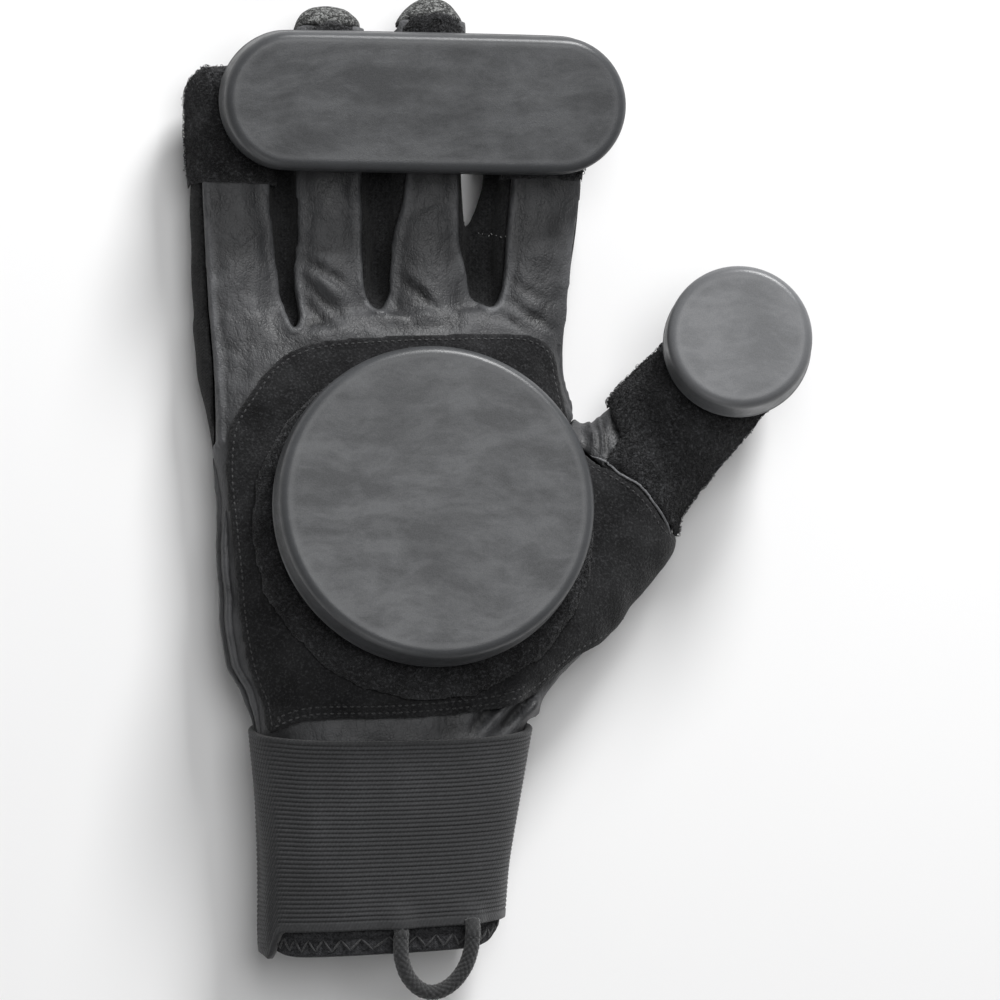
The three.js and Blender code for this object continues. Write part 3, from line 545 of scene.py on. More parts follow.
thumb_ahead = np.array([np.cos(THUMB_ANGLE), np.sin(THUMB_ANGLE)])
thumb_run = (X - THUMB_BASE[0]) * thumb_ahead[0] + (Y - THUMB_BASE[1]) * thumb_ahead[1]
thumb_level = (X - THUMB_BASE[0]) * thumb_ahead[1] - (Y - THUMB_BASE[1]) * thumb_ahead[0]
thumb_share = thumb_run / THUMB_LENGTH
thumb_rise = Z - eased(THUMB_PLACES, THUMB_HEIGHTS, thumb_share)
thumb_across = thumb_level * np.cos(THUMB_ROLL) + thumb_rise * np.sin(THUMB_ROLL)
thumb_up = thumb_rise * np.cos(THUMB_ROLL) - thumb_level * np.sin(THUMB_ROLL)
thumb_section = boxy_round(
    thumb_across / (eased(THUMB_PLACES, THUMB_WIDTHS, thumb_share) / 2),
    thumb_up / (eased(THUMB_PLACES, THUMB_DEPTHS, thumb_share) / 2), 2.3,
)
thumb_past = np.maximum(0, thumb_run - (THUMB_LENGTH - THUMB_DOME)) / THUMB_DOME
thumb_before = np.maximum(0, -thumb_run) / 16.0
thumb_form = to_distance(np.sqrt(thumb_section**2 + thumb_past**2 + thumb_before**2))

hand = melted(melted(palm_form, fingers_form, 3.5), thumb_form, 7.0)


def rod(start, end, radius):
    """How far a rod with round ends is: the distance to its middle line, less its radius."""
    way = np.subtract(end, start)
    t = np.clip(((X - start[0]) * way[0] + (Y - start[1]) * way[1] + (Z - start[2]) * way[2]) / (way @ way), 0, 1)
    gaps = (axis - start[k] - t * way[k] for k, axis in enumerate((X, Y, Z)))
    return np.sqrt(sum(gap * gap for gap in gaps)).astype(np.float32) - radius


# A fold of leather runs over the wrist's corner just above the cuff, on the thumb's side
WRIST_FOLD = [(-1.0, -54.8, 32.6), (7.6, -57.2, 27.8), (11.0, -58.6, 20.0)]
for start, end in zip(WRIST_FOLD[:-1], WRIST_FOLD[1:]):
    hand = melted(hand, rod(start, end, 1.7), 2.4)

# Folds of the front: height in mm (a groove is below 0), half width, and the line's places
FRONT_FOLDS = [
    (-0.45, 1.0, [(-67.9, 69.3), (-71.0, 60.5), (-74.4, 52.5)]),
    (-0.35, 0.9, [(-77.3, 43.4), (-73.3, 41.5), (-69.4, 37.6)]),
    (-0.6, 1.2, [(-66.0, 58.2), (-63.8, 51.2), (-62.0, 45.6)]),
    (-0.9, 1.3, [(-56.5, 69.4), (-49.7, 65.5), (-42.6, 60.6), (-38.9, 55.5)]),
    (0.7, 1.8, [(-55.8, 66.8), (-49.8, 62.6), (-43.2, 57.6), (-39.4, 52.5)]),
    (-0.7, 1.2, [(-55.4, 63.3), (-50.3, 58.8), (-45.2, 53.6), (-40.7, 48.6)]),
    (-0.5, 1.0, [(-53.7, 56.3), (-49.2, 51.3), (-45.8, 47.7)]),
    (-0.4, 1.0, [(-45.7, 84.3), (-42.3, 81.5), (-39.5, 79.9)]),
    (-0.4, 1.2, [(-55.3, 73.9), (-50.2, 71.2), (-45.1, 70.1)]),
    (-0.7, 1.3, [(-27.5, 64.8), (-22.7, 60.3), (-17.8, 55.3), (-13.8, 51.4)]),
    (0.5, 1.6, [(-25.5, 65.8), (-20.7, 61.8), (-15.8, 57.3), (-11.0, 53.4)]),
    (-0.5, 1.0, [(-29.3, 57.9), (-25.9, 53.4), (-21.9, 49.5)]),
    (-0.45, 1.0, [(-23.5, 81.9), (-18.4, 84.2), (-13.3, 86.6)]),
    (-0.4, 1.0, [(-22.4, 77.9), (-16.7, 79.2), (-12.1, 82.7)]),
    (-0.7, 1.1, [(3.3, 57.4), (8.7, 54.0), (14.5, 51.3), (18.6, 48.5)]),
    (-0.5, 1.0, [(0.9, 53.8), (4.9, 51.0), (10.0, 48.9)]),
    (-0.45, 1.0, [(4.4, 64.2), (9.6, 60.3), (15.3, 57.6)]),
    (1.1, 2.2, [(-60.0, 46.3), (-52.8, 45.9), (-45.8, 47.3), (-38.7, 49.2)]),
    (-0.8, 1.1, [(-58.5, 49.5), (-51.0, 50.0), (-44.5, 51.5)]),
    (-0.7, 1.3, [(-38.7, 50.2), (-29.6, 48.6), (-18.8, 49.2), (-9.2, 50.4)]),
    (-0.4, 1.2, [(-69.4, 47.7), (-71.1, 39.2), (-73.3, 30.8)]),
    (-0.4, 1.0, [(-66.2, 43.3), (-68.2, 38.5), (-72.4, 32.0)]),
    (-0.5, 1.4, [(8.9, 42.5), (13.1, 39.2), (15.1, 34.1)]),
    (-2.0, 1.4, [(2.8, -51.3), (-1.0, -56.7), (-5.0, -60.6), (-9.9, -66.1)]),
    (1.3, 1.8, [(6.0, -52.0), (2.4, -57.0), (-2.0, -61.5), (-5.5, -66.0)]),
    (-2.0, 1.4, [(11.1, -50.6), (8.0, -55.2), (3.5, -60.0), (-2.2, -65.9)]),
    (1.3, 1.8, [(13.2, -51.8), (10.2, -56.6), (6.0, -61.0), (1.5, -66.0)]),
    (-0.8, 1.1, [(16.5, -46.4), (14.2, -50.0), (11.0, -54.5)]),
    (-0.7, 1.2, [(21.2, 22.8), (24.6, 19.2), (27.4, 15.8)]),
    (-0.7, 1.2, [(21.2, 17.4), (24.6, 15.8), (26.9, 12.4)]),
    (1.2, 0.9, [(27.6, 28.5), (27.8, 20.3), (28.1, 11.4)]),
    (-1.0, 0.6, [(28.9, 28.8), (29.0, 20.3), (29.2, 11.0)]),
    (1.2, 0.8, [(30.0, 29.1), (30.1, 20.3), (30.2, 10.4)]),
    (-0.9, 0.6, [(31.1, 29.6), (31.2, 20.3), (31.3, 10.0)]),
    (0.9, 0.8, [(32.1, 30.0), (32.2, 20.3), (32.6, 9.8)]),
]


def line_distance(line, x, y):
    """From each place, how far a bent line is, and how far along it the nearest place lies, as a
    share of it: the least over its straight pieces."""
    run = np.concatenate([[0], np.cumsum(np.hypot(*np.diff(line, axis=0).T))])
    nearest = np.full(np.broadcast(x, y).shape, 1e9, np.float32)
    share = np.zeros_like(nearest)
    for k in range(len(line) - 1):
        (ax, ay), (bx, by) = line[k], line[k + 1]
        dx, dy = bx - ax, by - ay
        t = np.clip(((x - ax) * dx + (y - ay) * dy) / (dx * dx + dy * dy), 0, 1)
        away = np.hypot(x - ax - t * dx, y - ay - t * dy)
        closer = away < nearest
        nearest = np.where(closer, away, nearest)
        share = np.where(closer, (run[k] + t * (run[k + 1] - run[k])) / run[-1], share)
    return nearest, share


def inside_outline(outline, x, y):
    """From each place, how far a closed outline is, above 0 inside: the least distance to its
    straight pieces, with the sign from how often a line to the right crosses it."""
    closed = np.concatenate([outline, outline[:1]])
    away, _ = line_distance(closed, x, y)
    crossings = np.zeros(away.shape, bool)
    for (ax, ay), (bx, by) in zip(closed[:-1], closed[1:]):
        if ay != by:
            crossings ^= ((ay > y) != (by > y)) & (x < (bx - ax) * (y - ay) / (by - ay) + ax)
    return np.where(crossings, away, -away)


# The leather's edges round the three gaps between the fingers, seen from the front
GAP_EDGES = [
    [(-62.9, 112), (-62.8, 89.3), (-62.2, 76.8), (-60.2, 62.4), (-58.9, 53.0), (-57.2, 48.4),
     (-55.4, 50.5), (-55.4, 54.0), (-56.8, 62.5), (-58.3, 76.0), (-58.3, 85.1), (-58.0, 112)],
    [(-38.0, 128), (-37.5, 94.3), (-37.5, 79.8), (-37.2, 62.5), (-35.5, 56.6), (-32.3, 54.1),
     (-30.0, 58.5), (-30.1, 65.7), (-28.9, 75.7), (-25.2, 90.0), (-24.0, 128)],
    [(-9.3, 112), (-9.5, 94.6), (-9.8, 82.3), (-9.2, 71.8), (-5.8, 61.0), (-0.6, 55.4),
     (2.6, 61.2), (3.9, 77.2), (5.4, 95.2), (6.0, 112)],
]
GAP_SINK = 5.5
# The front's soft relief: height, stretch along y, shortest and longest wave, and seed
FRONT_CLOUDS = [(0.34, 1.0, 12.0, 30.0, 6), (0.19, 1.0, 7.0, 14.0, 3), (0.07, 1.6, 3.8, 7.0, 4)]

flat_x, flat_y = xs[:, None], ys[None, :]
gap_lines = [through(edge, 90, closed=True) for edge in GAP_EDGES]
gap_depth = np.max([inside_outline(line, flat_x, flat_y) for line in gap_lines], axis=0)
folds = np.zeros((len(xs), len(ys)), np.float32)
for height, half_width, line in FRONT_FOLDS:
    away, share = line_distance(through(line, 14), flat_x, flat_y)
    fade = np.sin(np.pi * np.clip(share, 0.02, 0.98)) ** 0.6
    folds += height * fade * np.exp(-((away / half_width) ** 2))
    if height < 0:
        folds -= 0.35 * height * fade * np.exp(-(((away - 2.2 * half_width) / (1.1 * half_width)) ** 2))
folds += sum(height * cloudy(flat_x, flat_y * stretch, *waves) for height, stretch, *waves in FRONT_CLOUDS)
folds -= GAP_SINK * eased_step(gap_depth, -0.6, 2.2) * (1 - eased_step(flat_y, 56.0, 68.0))
front_share = eased_step(Z, 11.0, 17.0)
hand = hand - folds[..., None] * front_share
back_relief = 0.35 * cloudy(flat_x, flat_y, 14.0, 34.0, 5)
hand = hand - back_relief[..., None] * (1 - front_share) * eased_step(Z, 1.0, 6.0)
hand = trimmed(hand, -Z, 1.6)


def surface_of(form):
    """The surface where a form is 0, as points in mm and four-cornered faces."""
    near = form < 1.5
    spans = []
    for axis in range(3):
        filled = np.flatnonzero(near.any(axis=tuple(k for k in range(3) if k != axis)))
        spans.append(slice(max(filled[0] - 2, 0), filled[-1] + 3))
    start = np.array([span.start for span in spans])
    grid = openvdb.FloatGrid(background=3.0)
    grid.copyFromArray(np.ascontiguousarray(np.minimum(form[tuple(spans)], 3.0), np.float32))
    points, quads = grid.convertToQuads(0.0)
    return (points + start) * VOXEL + HAND_LOW, quads


def true_distance(form):
    """The same surface with its field made an exact distance in mm, to 7 mm on either side."""
    points, quads = surface_of(form)
    grid = openvdb.FloatGrid.createLevelSetFromPolygons(
        points=((points - HAND_LOW) / VOXEL).astype(np.float32), quads=quads.astype(np.uint32), halfWidth=9.0)
    exact = np.full(form.shape, 9.0, np.float32)
    grid.copyToArray(exact)
    return exact * VOXEL


hand = true_distance(hand)


def value_at(field, points):
    """A field's values at millimetre points, by straight lines between its grid places."""
    place = np.clip((points - HAND_LOW) / VOXEL, 0, np.array(field.shape) - 1.001)
    first = place.astype(int)
    t = place - first
    total = 0
    for corner in np.ndindex(2, 2, 2):
        weight = np.prod(np.where(corner, t, 1 - t), axis=1)
        total = total + weight * field[tuple((first + corner).T)]
    return total


# The seam between the leather and the other panels: its height along the hand, and its
# y and x on the little finger's outer side
SEAM_PLACES = (-130.0, -50.0, -20.0, 30.0, 56.0, 75.0, 110.0, 145.0)
SEAM_HEIGHTS = (14.1, 13.0, 12.0, 12.0, 14.6, 16.2, 17.2, 20.0)
LEFT_SEAM = [
    (-150.0, -92.0), (14.5, -79.6), (16.0, -78.4), (28.2, -78.8), (42.3, -79.6), (56.4, -80.8), (73.3, -82.0),
    (93.1, -83.2), (124.0, -84.0),
]
SEAM_GAP = 0.3
TIP_WRAP = 7.0
TIP_HALF_WIDTH = 16.5
# Left of this x the seam follows the little finger's outer side
SIDE_SEAM_FROM = -70.0
# The seam's rolled bead begins between these places along the hand
BEAD_START = (8.0, 16.0)
# The thumb's seam: how far along the thumb it lies, and how far to either side it reaches
THUMB_SEAM = 5.0
THUMB_SEAM_SIDES = (21.4, 45.0)

seam = Z - eased(SEAM_PLACES, SEAM_HEIGHTS, ys)[None, :, None]
seam = np.broadcast_to(seam, hand.shape).astype(np.float32)
border = X - np.interp(Y, *np.array(LEFT_SEAM).T)
seam = np.where(X < SIDE_SEAM_FROM, trimmed(-seam, -border, 2.5) * -1, seam)
seam = -trimmed(-seam, gap_depth[..., None], 1.6)

tips = np.full(hand.shape[:2] + (1,), -60.0, np.float32)
for name, root_x, tip_x, tip_y, widths in FINGERS:
    beside = TIP_HALF_WIDTH - np.abs(X - finger_middle(root_x, tip_x, tip_y, Y))
    tips = np.maximum(tips, np.minimum(Y - (tip_y - TIP_WRAP), beside))
thumb_side = np.minimum(thumb_run - THUMB_SEAM, thumb_level + THUMB_SEAM_SIDES[0])
thumb_side = np.minimum(thumb_side, THUMB_SEAM_SIDES[1] - thumb_level)


def panel(region, sink=0.0, wall=LEATHER_WALL):
    """A piece of the glove's skin: the shell of a wall's thickness under the hand's surface, sunk
    a little if asked, where region is above 0, with its cut edges rounded."""
    shell = np.abs(hand + sink + wall / 2) - wall / 2
    return trimmed(shell, -region, 0.9)


leather_region = np.minimum(np.minimum(seam, -tips), -thumb_side - SEAM_GAP)
rolled_share = eased_step(Y, *BEAD_START)
rolled = np.sqrt((seam - 0.8) ** 2 + (hand - 0.1) ** 2) - 1.0
rolled = np.maximum(rolled, np.maximum(tips, thumb_side + 2.0)) + 6.0 * (1 - rolled_share)
palm_form = melted(panel(leather_region), rolled, 0.6)

def swirled(place, scale, reach):
    """A place pushed about by coloured noise, times a reach in metres."""
    tree = place.id_data
    push = add_node(tree, "ShaderNodeTexNoise", Vector=place, Scale=scale, Detail=2.0).outputs["Color"]
    pushed = add_node(tree, "ShaderNodeVectorMath", {"operation": "MULTIPLY_ADD"}, n0=push, n1=(reach,) * 3, n2=place)
    return pushed.outputs[0]


grain_group, place, scale = new_group("leather grain", "Scale", 900.0)
pebbles = add_node(
    grain_group, "ShaderNodeTexVoronoi", {"feature": "DISTANCE_TO_EDGE"},
    Vector=swirled(place, 300.0, 0.0008), Scale=scale,
).outputs["Distance"]
fine = noise(place, times(scale, 2.6), 3.0)
broad = noise(place, times(scale, 0.07), 4.0, 0.6)
give(grain_group, Height=weighted(fine, 0.45, ranged(pebbles, 0.0, 0.22), 0.6), Tone=ranged(broad, 0.3, 0.72))


def leather_finish(name, low, high):
    """Grain leather: pebbled grain, fine wrinkles, cloudy tone and rubbed edges, with painted shade
    in the folds, the fine creases and the hollows of the wrinkles.
    """
    finish = Finish(name, Specular_IOR_Level=0.45)
    grain = finish.use(grain_group, Scale=950.0)
    wrinkle = noise(finish.place, 260.0, 5.0, 0.65, (1.0, 0.4, 1.0))
    crease = math_of("SUBTRACT", noise(finish.place, 150.0, 4.0, 0.6, (1.0, 0.6, 1.0)), 0.5)
    crease = ranged(math_of("ABSOLUTE", crease), 0.0, 0.05)
    # The colour of the painted shade in the folds and the fine creases
    dark = scaled(low, 0.35)
    rubbed = mixed(grain["Tone"], scaled(low, 1.7), scaled(high, 1.9))
    # The colour follows the wrinkles' relief: painted shade in their hollows
    colour = mixed(weighted(grain["Tone"], 0.55, wrinkle, 0.4), low, high)
    # Painted shade: darker the deeper a point lies in a fold of the front
    colour = mixed(times(finish.read("fold"), 0.75), colour, dark)
    colour = mixed(times(finish.read("edge"), 0.7), colour, rubbed)
    # Painted shade along the grooves of the fine creases
    finish.put("Base Color", mixed(ranged(crease, 0.0, 1.0, 0.22, 0.0), colour, dark))
    finish.put("Roughness", ranged(math_of("ADD", grain["Tone"], wrinkle), 0.5, 1.5, 0.44, 0.64))
    finish.relief((wrinkle, 0.001, 0.5), (crease, 0.0003, 0.3), (grain["Height"], 0.0002, 0.42))
    return finish.material


leather = leather_finish("palm leather", (0.024, 0.0245, 0.026), (0.08, 0.0813, 0.0855))
# Two rolled folds run down the palm's edge under the little finger: x, y and z
EDGE_FOLDS = [
    [(-78.8, 12.0, 14.4), (-78.6, 2.0, 14.6), (-78.2, -8.0, 15.0), (-77.4, -22.0, 15.5), (-76.6, -34.0, 16.0),
     (-75.0, -46.5, 17.0), (-71.6, -54.0, 18.0), (-68.9, -69.5, 19.0)],
    [(-76.2, -3.0, 19.6), (-75.7, -13.0, 20.0), (-75.0, -24.0, 20.5), (-74.2, -34.2, 21.0), (-72.6, -45.3, 22.0),
     (-69.4, -54.0, 23.0), (-66.6, -69.5, 24.0)],
]
EDGE_FOLD_RADIUS = 1.05


def outward_of(points):
    """The hand's outward direction near each point: the slope of its distance."""
    slope = [value_at(hand, points + step) - value_at(hand, points - step) for step in 0.8 * np.eye(3)]
    slope = np.stack(slope, axis=1)
    return slope / np.maximum(np.linalg.norm(slope, axis=1, keepdims=True), 1e-6)


def onto_hand(points, offset):
    """Points moved along the hand's outward direction to where its distance is an offset."""
    for _ in range(6):
        points = points - outward_of(points) * (value_at(hand, points) - offset)[:, None]
    return points


def tube(line, radius, sides=14):
    """A round thread along a line, with tapered ends: its thickness there grows with the sine of
    the way along it, and a fan of triangles closes each end."""
    _, side, up = carried_frames(line, UP)
    angle = ring_angles(sides)[None, :, None]
    along = np.linspace(0.004, 0.996, len(line))[:, None, None]
    thick = radius * np.clip(2.6 * np.sin(np.pi * along), 0, 1) ** 0.8
    rings = line[:, None] + thick * (side[:, None] * np.cos(angle) + up[:, None] * np.sin(angle))
    return capped(rings, line[0], line[-1])


def joined(parts):
    """Several sets of points and faces as one set."""
    starts = np.cumsum([0] + [len(points) for points, _ in parts[:-1]])
    faces = [faces + start for (_, faces), start in zip(parts, starts)]
    return np.concatenate([points for points, _ in parts]), np.concatenate(faces)


points, faces = surface_of(palm_form)
edge_folds = [tube(onto_hand(through(line, 90), 0.1), EDGE_FOLD_RADIUS) for line in EDGE_FOLDS]
palm_count = len(points)
points, faces = joined([(points, faces)] + edge_folds)
palm_leather = add_mesh("palm_leather_panel", points, faces, [leather])


def fold_depth(points):
    """How deep in a fold each point lies, from 0 to 1, where it is on the hand's front: the strength
    of the painted shade that the leather's colour gets there.
    """
    column = np.clip(((points - HAND_LOW) / VOXEL).round().astype(int), 0, np.array(hand.shape) - 1)
    return np.clip(-folds[column[:, 0], column[:, 1]], 0, 1) * eased_step(points[:, 2], 12.0, 18.0)


on_panel = np.arange(len(points)) < palm_count
on_bead = np.exp(-(((value_at(seam, points) - 0.8) / 1.1) ** 2)) * eased_step(points[:, 1], *BEAD_START)
# The fold mark sets the painted shade in the front's folds.
mark(palm_leather, "fold", fold_depth(points) * on_panel)
mark(palm_leather, "edge", np.where(on_panel, on_bead * (value_at(hand, points) > -0.6), 0.35))
settle(palm_leather, "palm_leather")

# The back of the hand, the finger backs and the fingertips are one panel of speckled
# grey knit, sewn to the leather round the hand's edge and wrapped over each fingertip.
knit_group, place, pitch = new_group("knit", "Pitch", 0.0011)
split = add_node(knit_group, "ShaderNodeSeparateXYZ", Vector=place).outputs
zigzag = math_of("PINGPONG", math_of("DIVIDE", split["X"], pitch), 0.5)
courses = math_of("MULTIPLY_ADD", zigzag, 1.4, math_of("DIVIDE", split["Y"], times(pitch, 0.8)))
cells = add_node(knit_group, "ShaderNodeTexVoronoi", Vector=place, Scale=math_of("DIVIDE", 2.1, pitch))
give(
    knit_group, Height=weighted(math_of("PINGPONG", courses, 0.5), 1.3, zigzag, 0.8),
    Fleck=add_node(knit_group, "ShaderNodeSeparateColor", Color=cells.outputs["Color"]).outputs[0],
)


def knit_finish(name, low, high, pitch):
    """Knit cloth: rows of loops with painted shade in their hollows, flecks of lighter and darker
    yarn, fibre, and a paler painted sheen where the pale mark is set.
    """
    finish = Finish(name, Roughness=0.95, Sheen_Weight=0.05, Sheen_Roughness=0.6, Specular_IOR_Level=0.2)
    loops, fibre = finish.use(knit_group, Pitch=pitch), finish.use(fibre_group, Scale=3600.0)
    tone = weighted(fibre["Fleck"], 0.35, loops["Fleck"], 0.65)
    # Painted shade: darker in the hollows between the loops
    tone = times(tone, ranged(loops["Height"], 0.0, 0.9, 0.55, 1.1))
    bright = times(ranged(loops["Fleck"], 0.35, 0.95), ranged(fibre["Height"], 0.35, 0.6, 0.4, 1.0))
    # Painted sheen: the paler yarn that the pale mark brings in
    pale = mixed(bright, (0.03, 0.0305, 0.03), (0.27, 0.275, 0.27))
    finish.put("Base Color", mixed(finish.read("pale"), mixed(tone, low, high), pale))
    finish.relief((loops["Height"], 0.0003, 0.55), (fibre["Height"], 0.00015, 0.6))
    return finish.material


back_knit = knit_finish("speckled back knit", (0.004, 0.004, 0.0044), (0.024, 0.0245, 0.025), 0.0011)
STRIP_START = 46.6
STRIP_LOWEST = 5.5
FINGER_SPACING = 27.0
between_fingers = np.full(hand.shape[:2] + (1,), -60.0, np.float32)
strip_regions = {}
for left, right in zip(FINGERS[:-1], FINGERS[1:]):
    left_middle, right_middle = (finger_middle(*row[1:4], Y) for row in (left, right))
    tip_step = right[3] - left[3]
    ends = 0.5 * tip_step + left[3] + (X - (left_middle + right_middle) / 2) / FINGER_SPACING * tip_step
    strip = np.minimum(X - left_middle, right_middle - X)
    strip = np.minimum(strip, np.minimum(Y - STRIP_START, ends - TIP_WRAP - 0.9 - Y))
    strip_regions[f"{left[0]}_{right[0]}"] = strip
    between_fingers = np.maximum(between_fingers, strip)
strips = np.minimum(between_fingers, Z - STRIP_LOWEST)
back_region = np.minimum(-seam - SEAM_GAP, -strips - SEAM_GAP)
back_region = np.maximum(back_region, tips)
back_region = np.minimum(back_region, -thumb_side - SEAM_GAP)
points, faces = surface_of(panel(back_region, 0.15))
back_fabric = add_mesh("back_knit_panel", points, faces, [back_knit])
# Painted sheen: the knit is painted paler where it wraps over the fingertips, which face the light.
mark(back_fabric, "pale", eased_step(value_at(np.broadcast_to(tips, hand.shape), points), -2.0, 2.0))
settle(back_fabric, "back_fabric")

# The strips between the fingers are of a darker knit with light flecks. Each is one
# strip that runs down one finger, round the crotch and up the next.
side_knit = knit_finish("dark side knit", (0.007, 0.007, 0.0076), (0.042, 0.0428, 0.0442), 0.0009)
for name, strip in strip_regions.items():
    region = np.minimum(np.minimum(strip, Z - STRIP_LOWEST), np.minimum(-seam - SEAM_GAP, -tips - SEAM_GAP))
    points, faces = surface_of(panel(region, 0.45))
    side_strip = add_mesh(f"side_strip_{name}", points, faces, [side_knit])
    settle(side_strip, f"fourchette_{name}")

# The thumb is a tube of the same leather as the palm, sewn on round its base.
points, faces = surface_of(panel(thumb_side))
thumb_leather = add_mesh("thumb_leather_panel", points, faces, [leather])
# The fold mark sets the painted shade in the thumb's folds.
mark(thumb_leather, "fold", fold_depth(points))
mark(thumb_leather, "edge", np.zeros(len(points)))
settle(thumb_leather, "thumb_leather")

# The palm patch is black suede, sewn on over the palm and the ball of the thumb with
# one row of stitches inside its cut edge, and two rows at the wrist.
PATCH_OUTLINE = [
    (-64.4, -65.5), (-66.6, -57.5), (-70.1, -48.4), (-72.4, -37.0), (-73.7, -22.0), (-75.2, -6.0),
    (-76.3, 8.0), (-75.2, 20.0),
    (-70.1, 29.3), (-63.9, 37.4), (-57.3, 42.1), (-47.5, 44.8), (-28.1, 46.5), (-8.6, 47.3), (5.7, 47.8),
    (12.9, 46.3), (17.2, 42.4), (19.0, 33.7), (22.0, 18.8), (26.2, 12.0), (33.9, 7.9), (41.6, 2.1), (47.7, -5.4),
    (54.9, -13.4), (46.7, -24.6), (34.4, -37.0), (22.1, -44.1), (9.8, -54.4), (-1.5, -58.7),
    (-28.1, -61.6), (-53.7, -62.3),
]
SUEDE_THICKNESS = 1.3
LAYER_GAP = 0.3


def layer(region, lowest, below, thickness, rounding=0.5):
    """A layer on the hand's surface, from a height over it up by a thickness, where the flat
    region is above 0 and above a lowest height."""
    form = np.maximum(hand - below - thickness, below - hand)
    return trimmed(form, -np.minimum(region[..., None], Z - lowest), rounding)


nap_group, place, scale = new_group("nap", "Scale", 1200.0)
tufts = add_node(nap_group, "ShaderNodeTexVoronoi", {"feature": "SMOOTH_F1"}, Vector=place, Scale=scale, Smoothness=0.4)
hairs = noise(place, times(scale, 2.2), 4.0, 0.75)
give(
    nap_group, Height=weighted(hairs, 0.6, tufts.outputs["Distance"], -0.7),
    Fleck=ranged(noise(place, scale, 3.0, 0.7), 0.5, 0.75),
    Patch=ranged(noise(place, times(scale, 0.06), 3.0, 0.6), 0.3, 0.7),
)


def nap_finish(name, low, high, scale, depth, fleck_share):
    """Suede or pile: tufts and hairs in relief, lighter flecks, and patches that are rubbed."""
    finish = Finish(name, Roughness=0.98, Sheen_Weight=0.1, Sheen_Roughness=0.5, Specular_IOR_Level=0.15)
    nap = finish.use(nap_group, Scale=scale)
    tone = weighted(nap["Fleck"], fleck_share, nap["Patch"], 1 - fleck_share)
    pale = mixed(nap["Fleck"], scaled(high, 3.5), scaled(high, 6))
    finish.put("Base Color", mixed(finish.read("cut"), mixed(tone, low, high), pale))
    finish.relief((nap["Height"], depth, 0.9))
    return finish.material


suede = nap_finish("palm suede", (0.006, 0.006, 0.0065), (0.052, 0.0527, 0.055), 1400.0, 0.0003, 0.72)
patch_line = through(PATCH_OUTLINE, 240, closed=True)
patch_region = inside_outline(patch_line, flat_x, flat_y)
patch_form = layer(patch_region, 16.0, LAYER_GAP, SUEDE_THICKNESS)
points, faces = surface_of(patch_form)
# The cut edge towards the thumb is paler: a thin line along it, x and y
CUT_EDGE = [(26.6, 12.0), (30.2, 9.9), (33.9, 8.1), (38.0, 5.4), (41.6, 2.3), (44.9, -1.6), (47.7, -5.2), (51.6, -9.6)]
CUT_EDGE_RADIUS = 0.34
cut_line = through(np.array(CUT_EDGE), 90)
cut_line = onto_hand(np.concatenate([cut_line, np.full((90, 1), 24.0)], axis=1), LAYER_GAP + SUEDE_THICKNESS - 0.1)
suede_count = len(points)
points, faces = joined([(points, faces), tube(cut_line, CUT_EDGE_RADIUS, 10)])
palm_patch = add_mesh("palm_patch_suede", points, faces, [suede])
mark(palm_patch, "cut", 0.8 * (np.arange(len(points)) >= suede_count))
settle(palm_patch, "palm_patch")

# Stitches: short twisted threads, sunk at both ends, in rows beside the edges.
STITCH_SIDES = 6
STITCH_RINGS = 7
STITCH_WIDTH = 0.46
STITCH_PITCH = 1.9
# How far inside the patch's edge the two rows run
STITCH_INSETS = (1.7, 3.6)


def front_height(offset, x, y):
    """How high the hand's front is, grown by an offset, at places x and y: the topmost grid cell
    inside it, and a straight line across that cell's edge."""
    inside = hand < offset
    top = len(zs) - 1 - np.argmax(inside[:, :, ::-1], axis=2)
    top = np.clip(top, 0, len(zs) - 2)
    low = np.take_along_axis(hand, top[..., None], 2)[..., 0]
    high = np.take_along_axis(hand, top[..., None] + 1, 2)[..., 0]
    height = zs[top] + VOXEL * (offset - low) / np.maximum(high - low, 1e-3)
    height = np.where(inside.any(2), height, -99.0)
    px, py = (x - HAND_LOW[0]) / VOXEL, (y - HAND_LOW[1]) / VOXEL
    i, j = px.astype(int), py.astype(int)
    u, v = px - i, py - j
    return (height[i, j] * (1 - u) * (1 - v) + height[i + 1, j] * u * (1 - v)
            + height[i, j + 1] * (1 - u) * v + height[i + 1, j + 1] * u * v)


def stitches(starts, ends, upwards, width):
    """One thread from each start to its end: a tube whose thickness and height over the cloth are
    those of half an ellipse along it."""
    middle, half = (starts + ends) / 2, (ends - starts) / 2
    length = np.linalg.norm(half, axis=1, keepdims=True)
    ahead = half / length
    side = np.cross(ahead, upwards)
    side /= np.linalg.norm(side, axis=1, keepdims=True)
    up = np.cross(side, ahead)
    t = np.linspace(-1, 1, STITCH_RINGS)
    thick = np.sqrt(np.clip(1 - 0.96 * t**2, 0.02, 1)) * width / 2
    angle = ring_angles(STITCH_SIDES)
    rings = (
        middle[:, None, None] + half[:, None, None] * t[None, :, None, None]
        + side[:, None, None] * (thick[:, None] * np.cos(angle))[None, :, :, None]
        + up[:, None, None] * ((thick[:, None] * np.sin(angle)) - (0.5 * width * t**2)[:, None])[None, :, :, None]
    )
    faces = wrapped_grid(STITCH_RINGS, STITCH_SIDES)
    lids = np.array([[0, 1, 2, 3], [0, 3, 4, 5]])
    last = (STITCH_RINGS - 1) * STITCH_SIDES
    faces = np.concatenate([faces, lids[:, ::-1], lids + last])
    offsets = np.arange(len(starts))[:, None, None] * STITCH_RINGS * STITCH_SIDES
    return rings.reshape(-1, 3), (faces[None] + offsets).reshape(-1, 4)


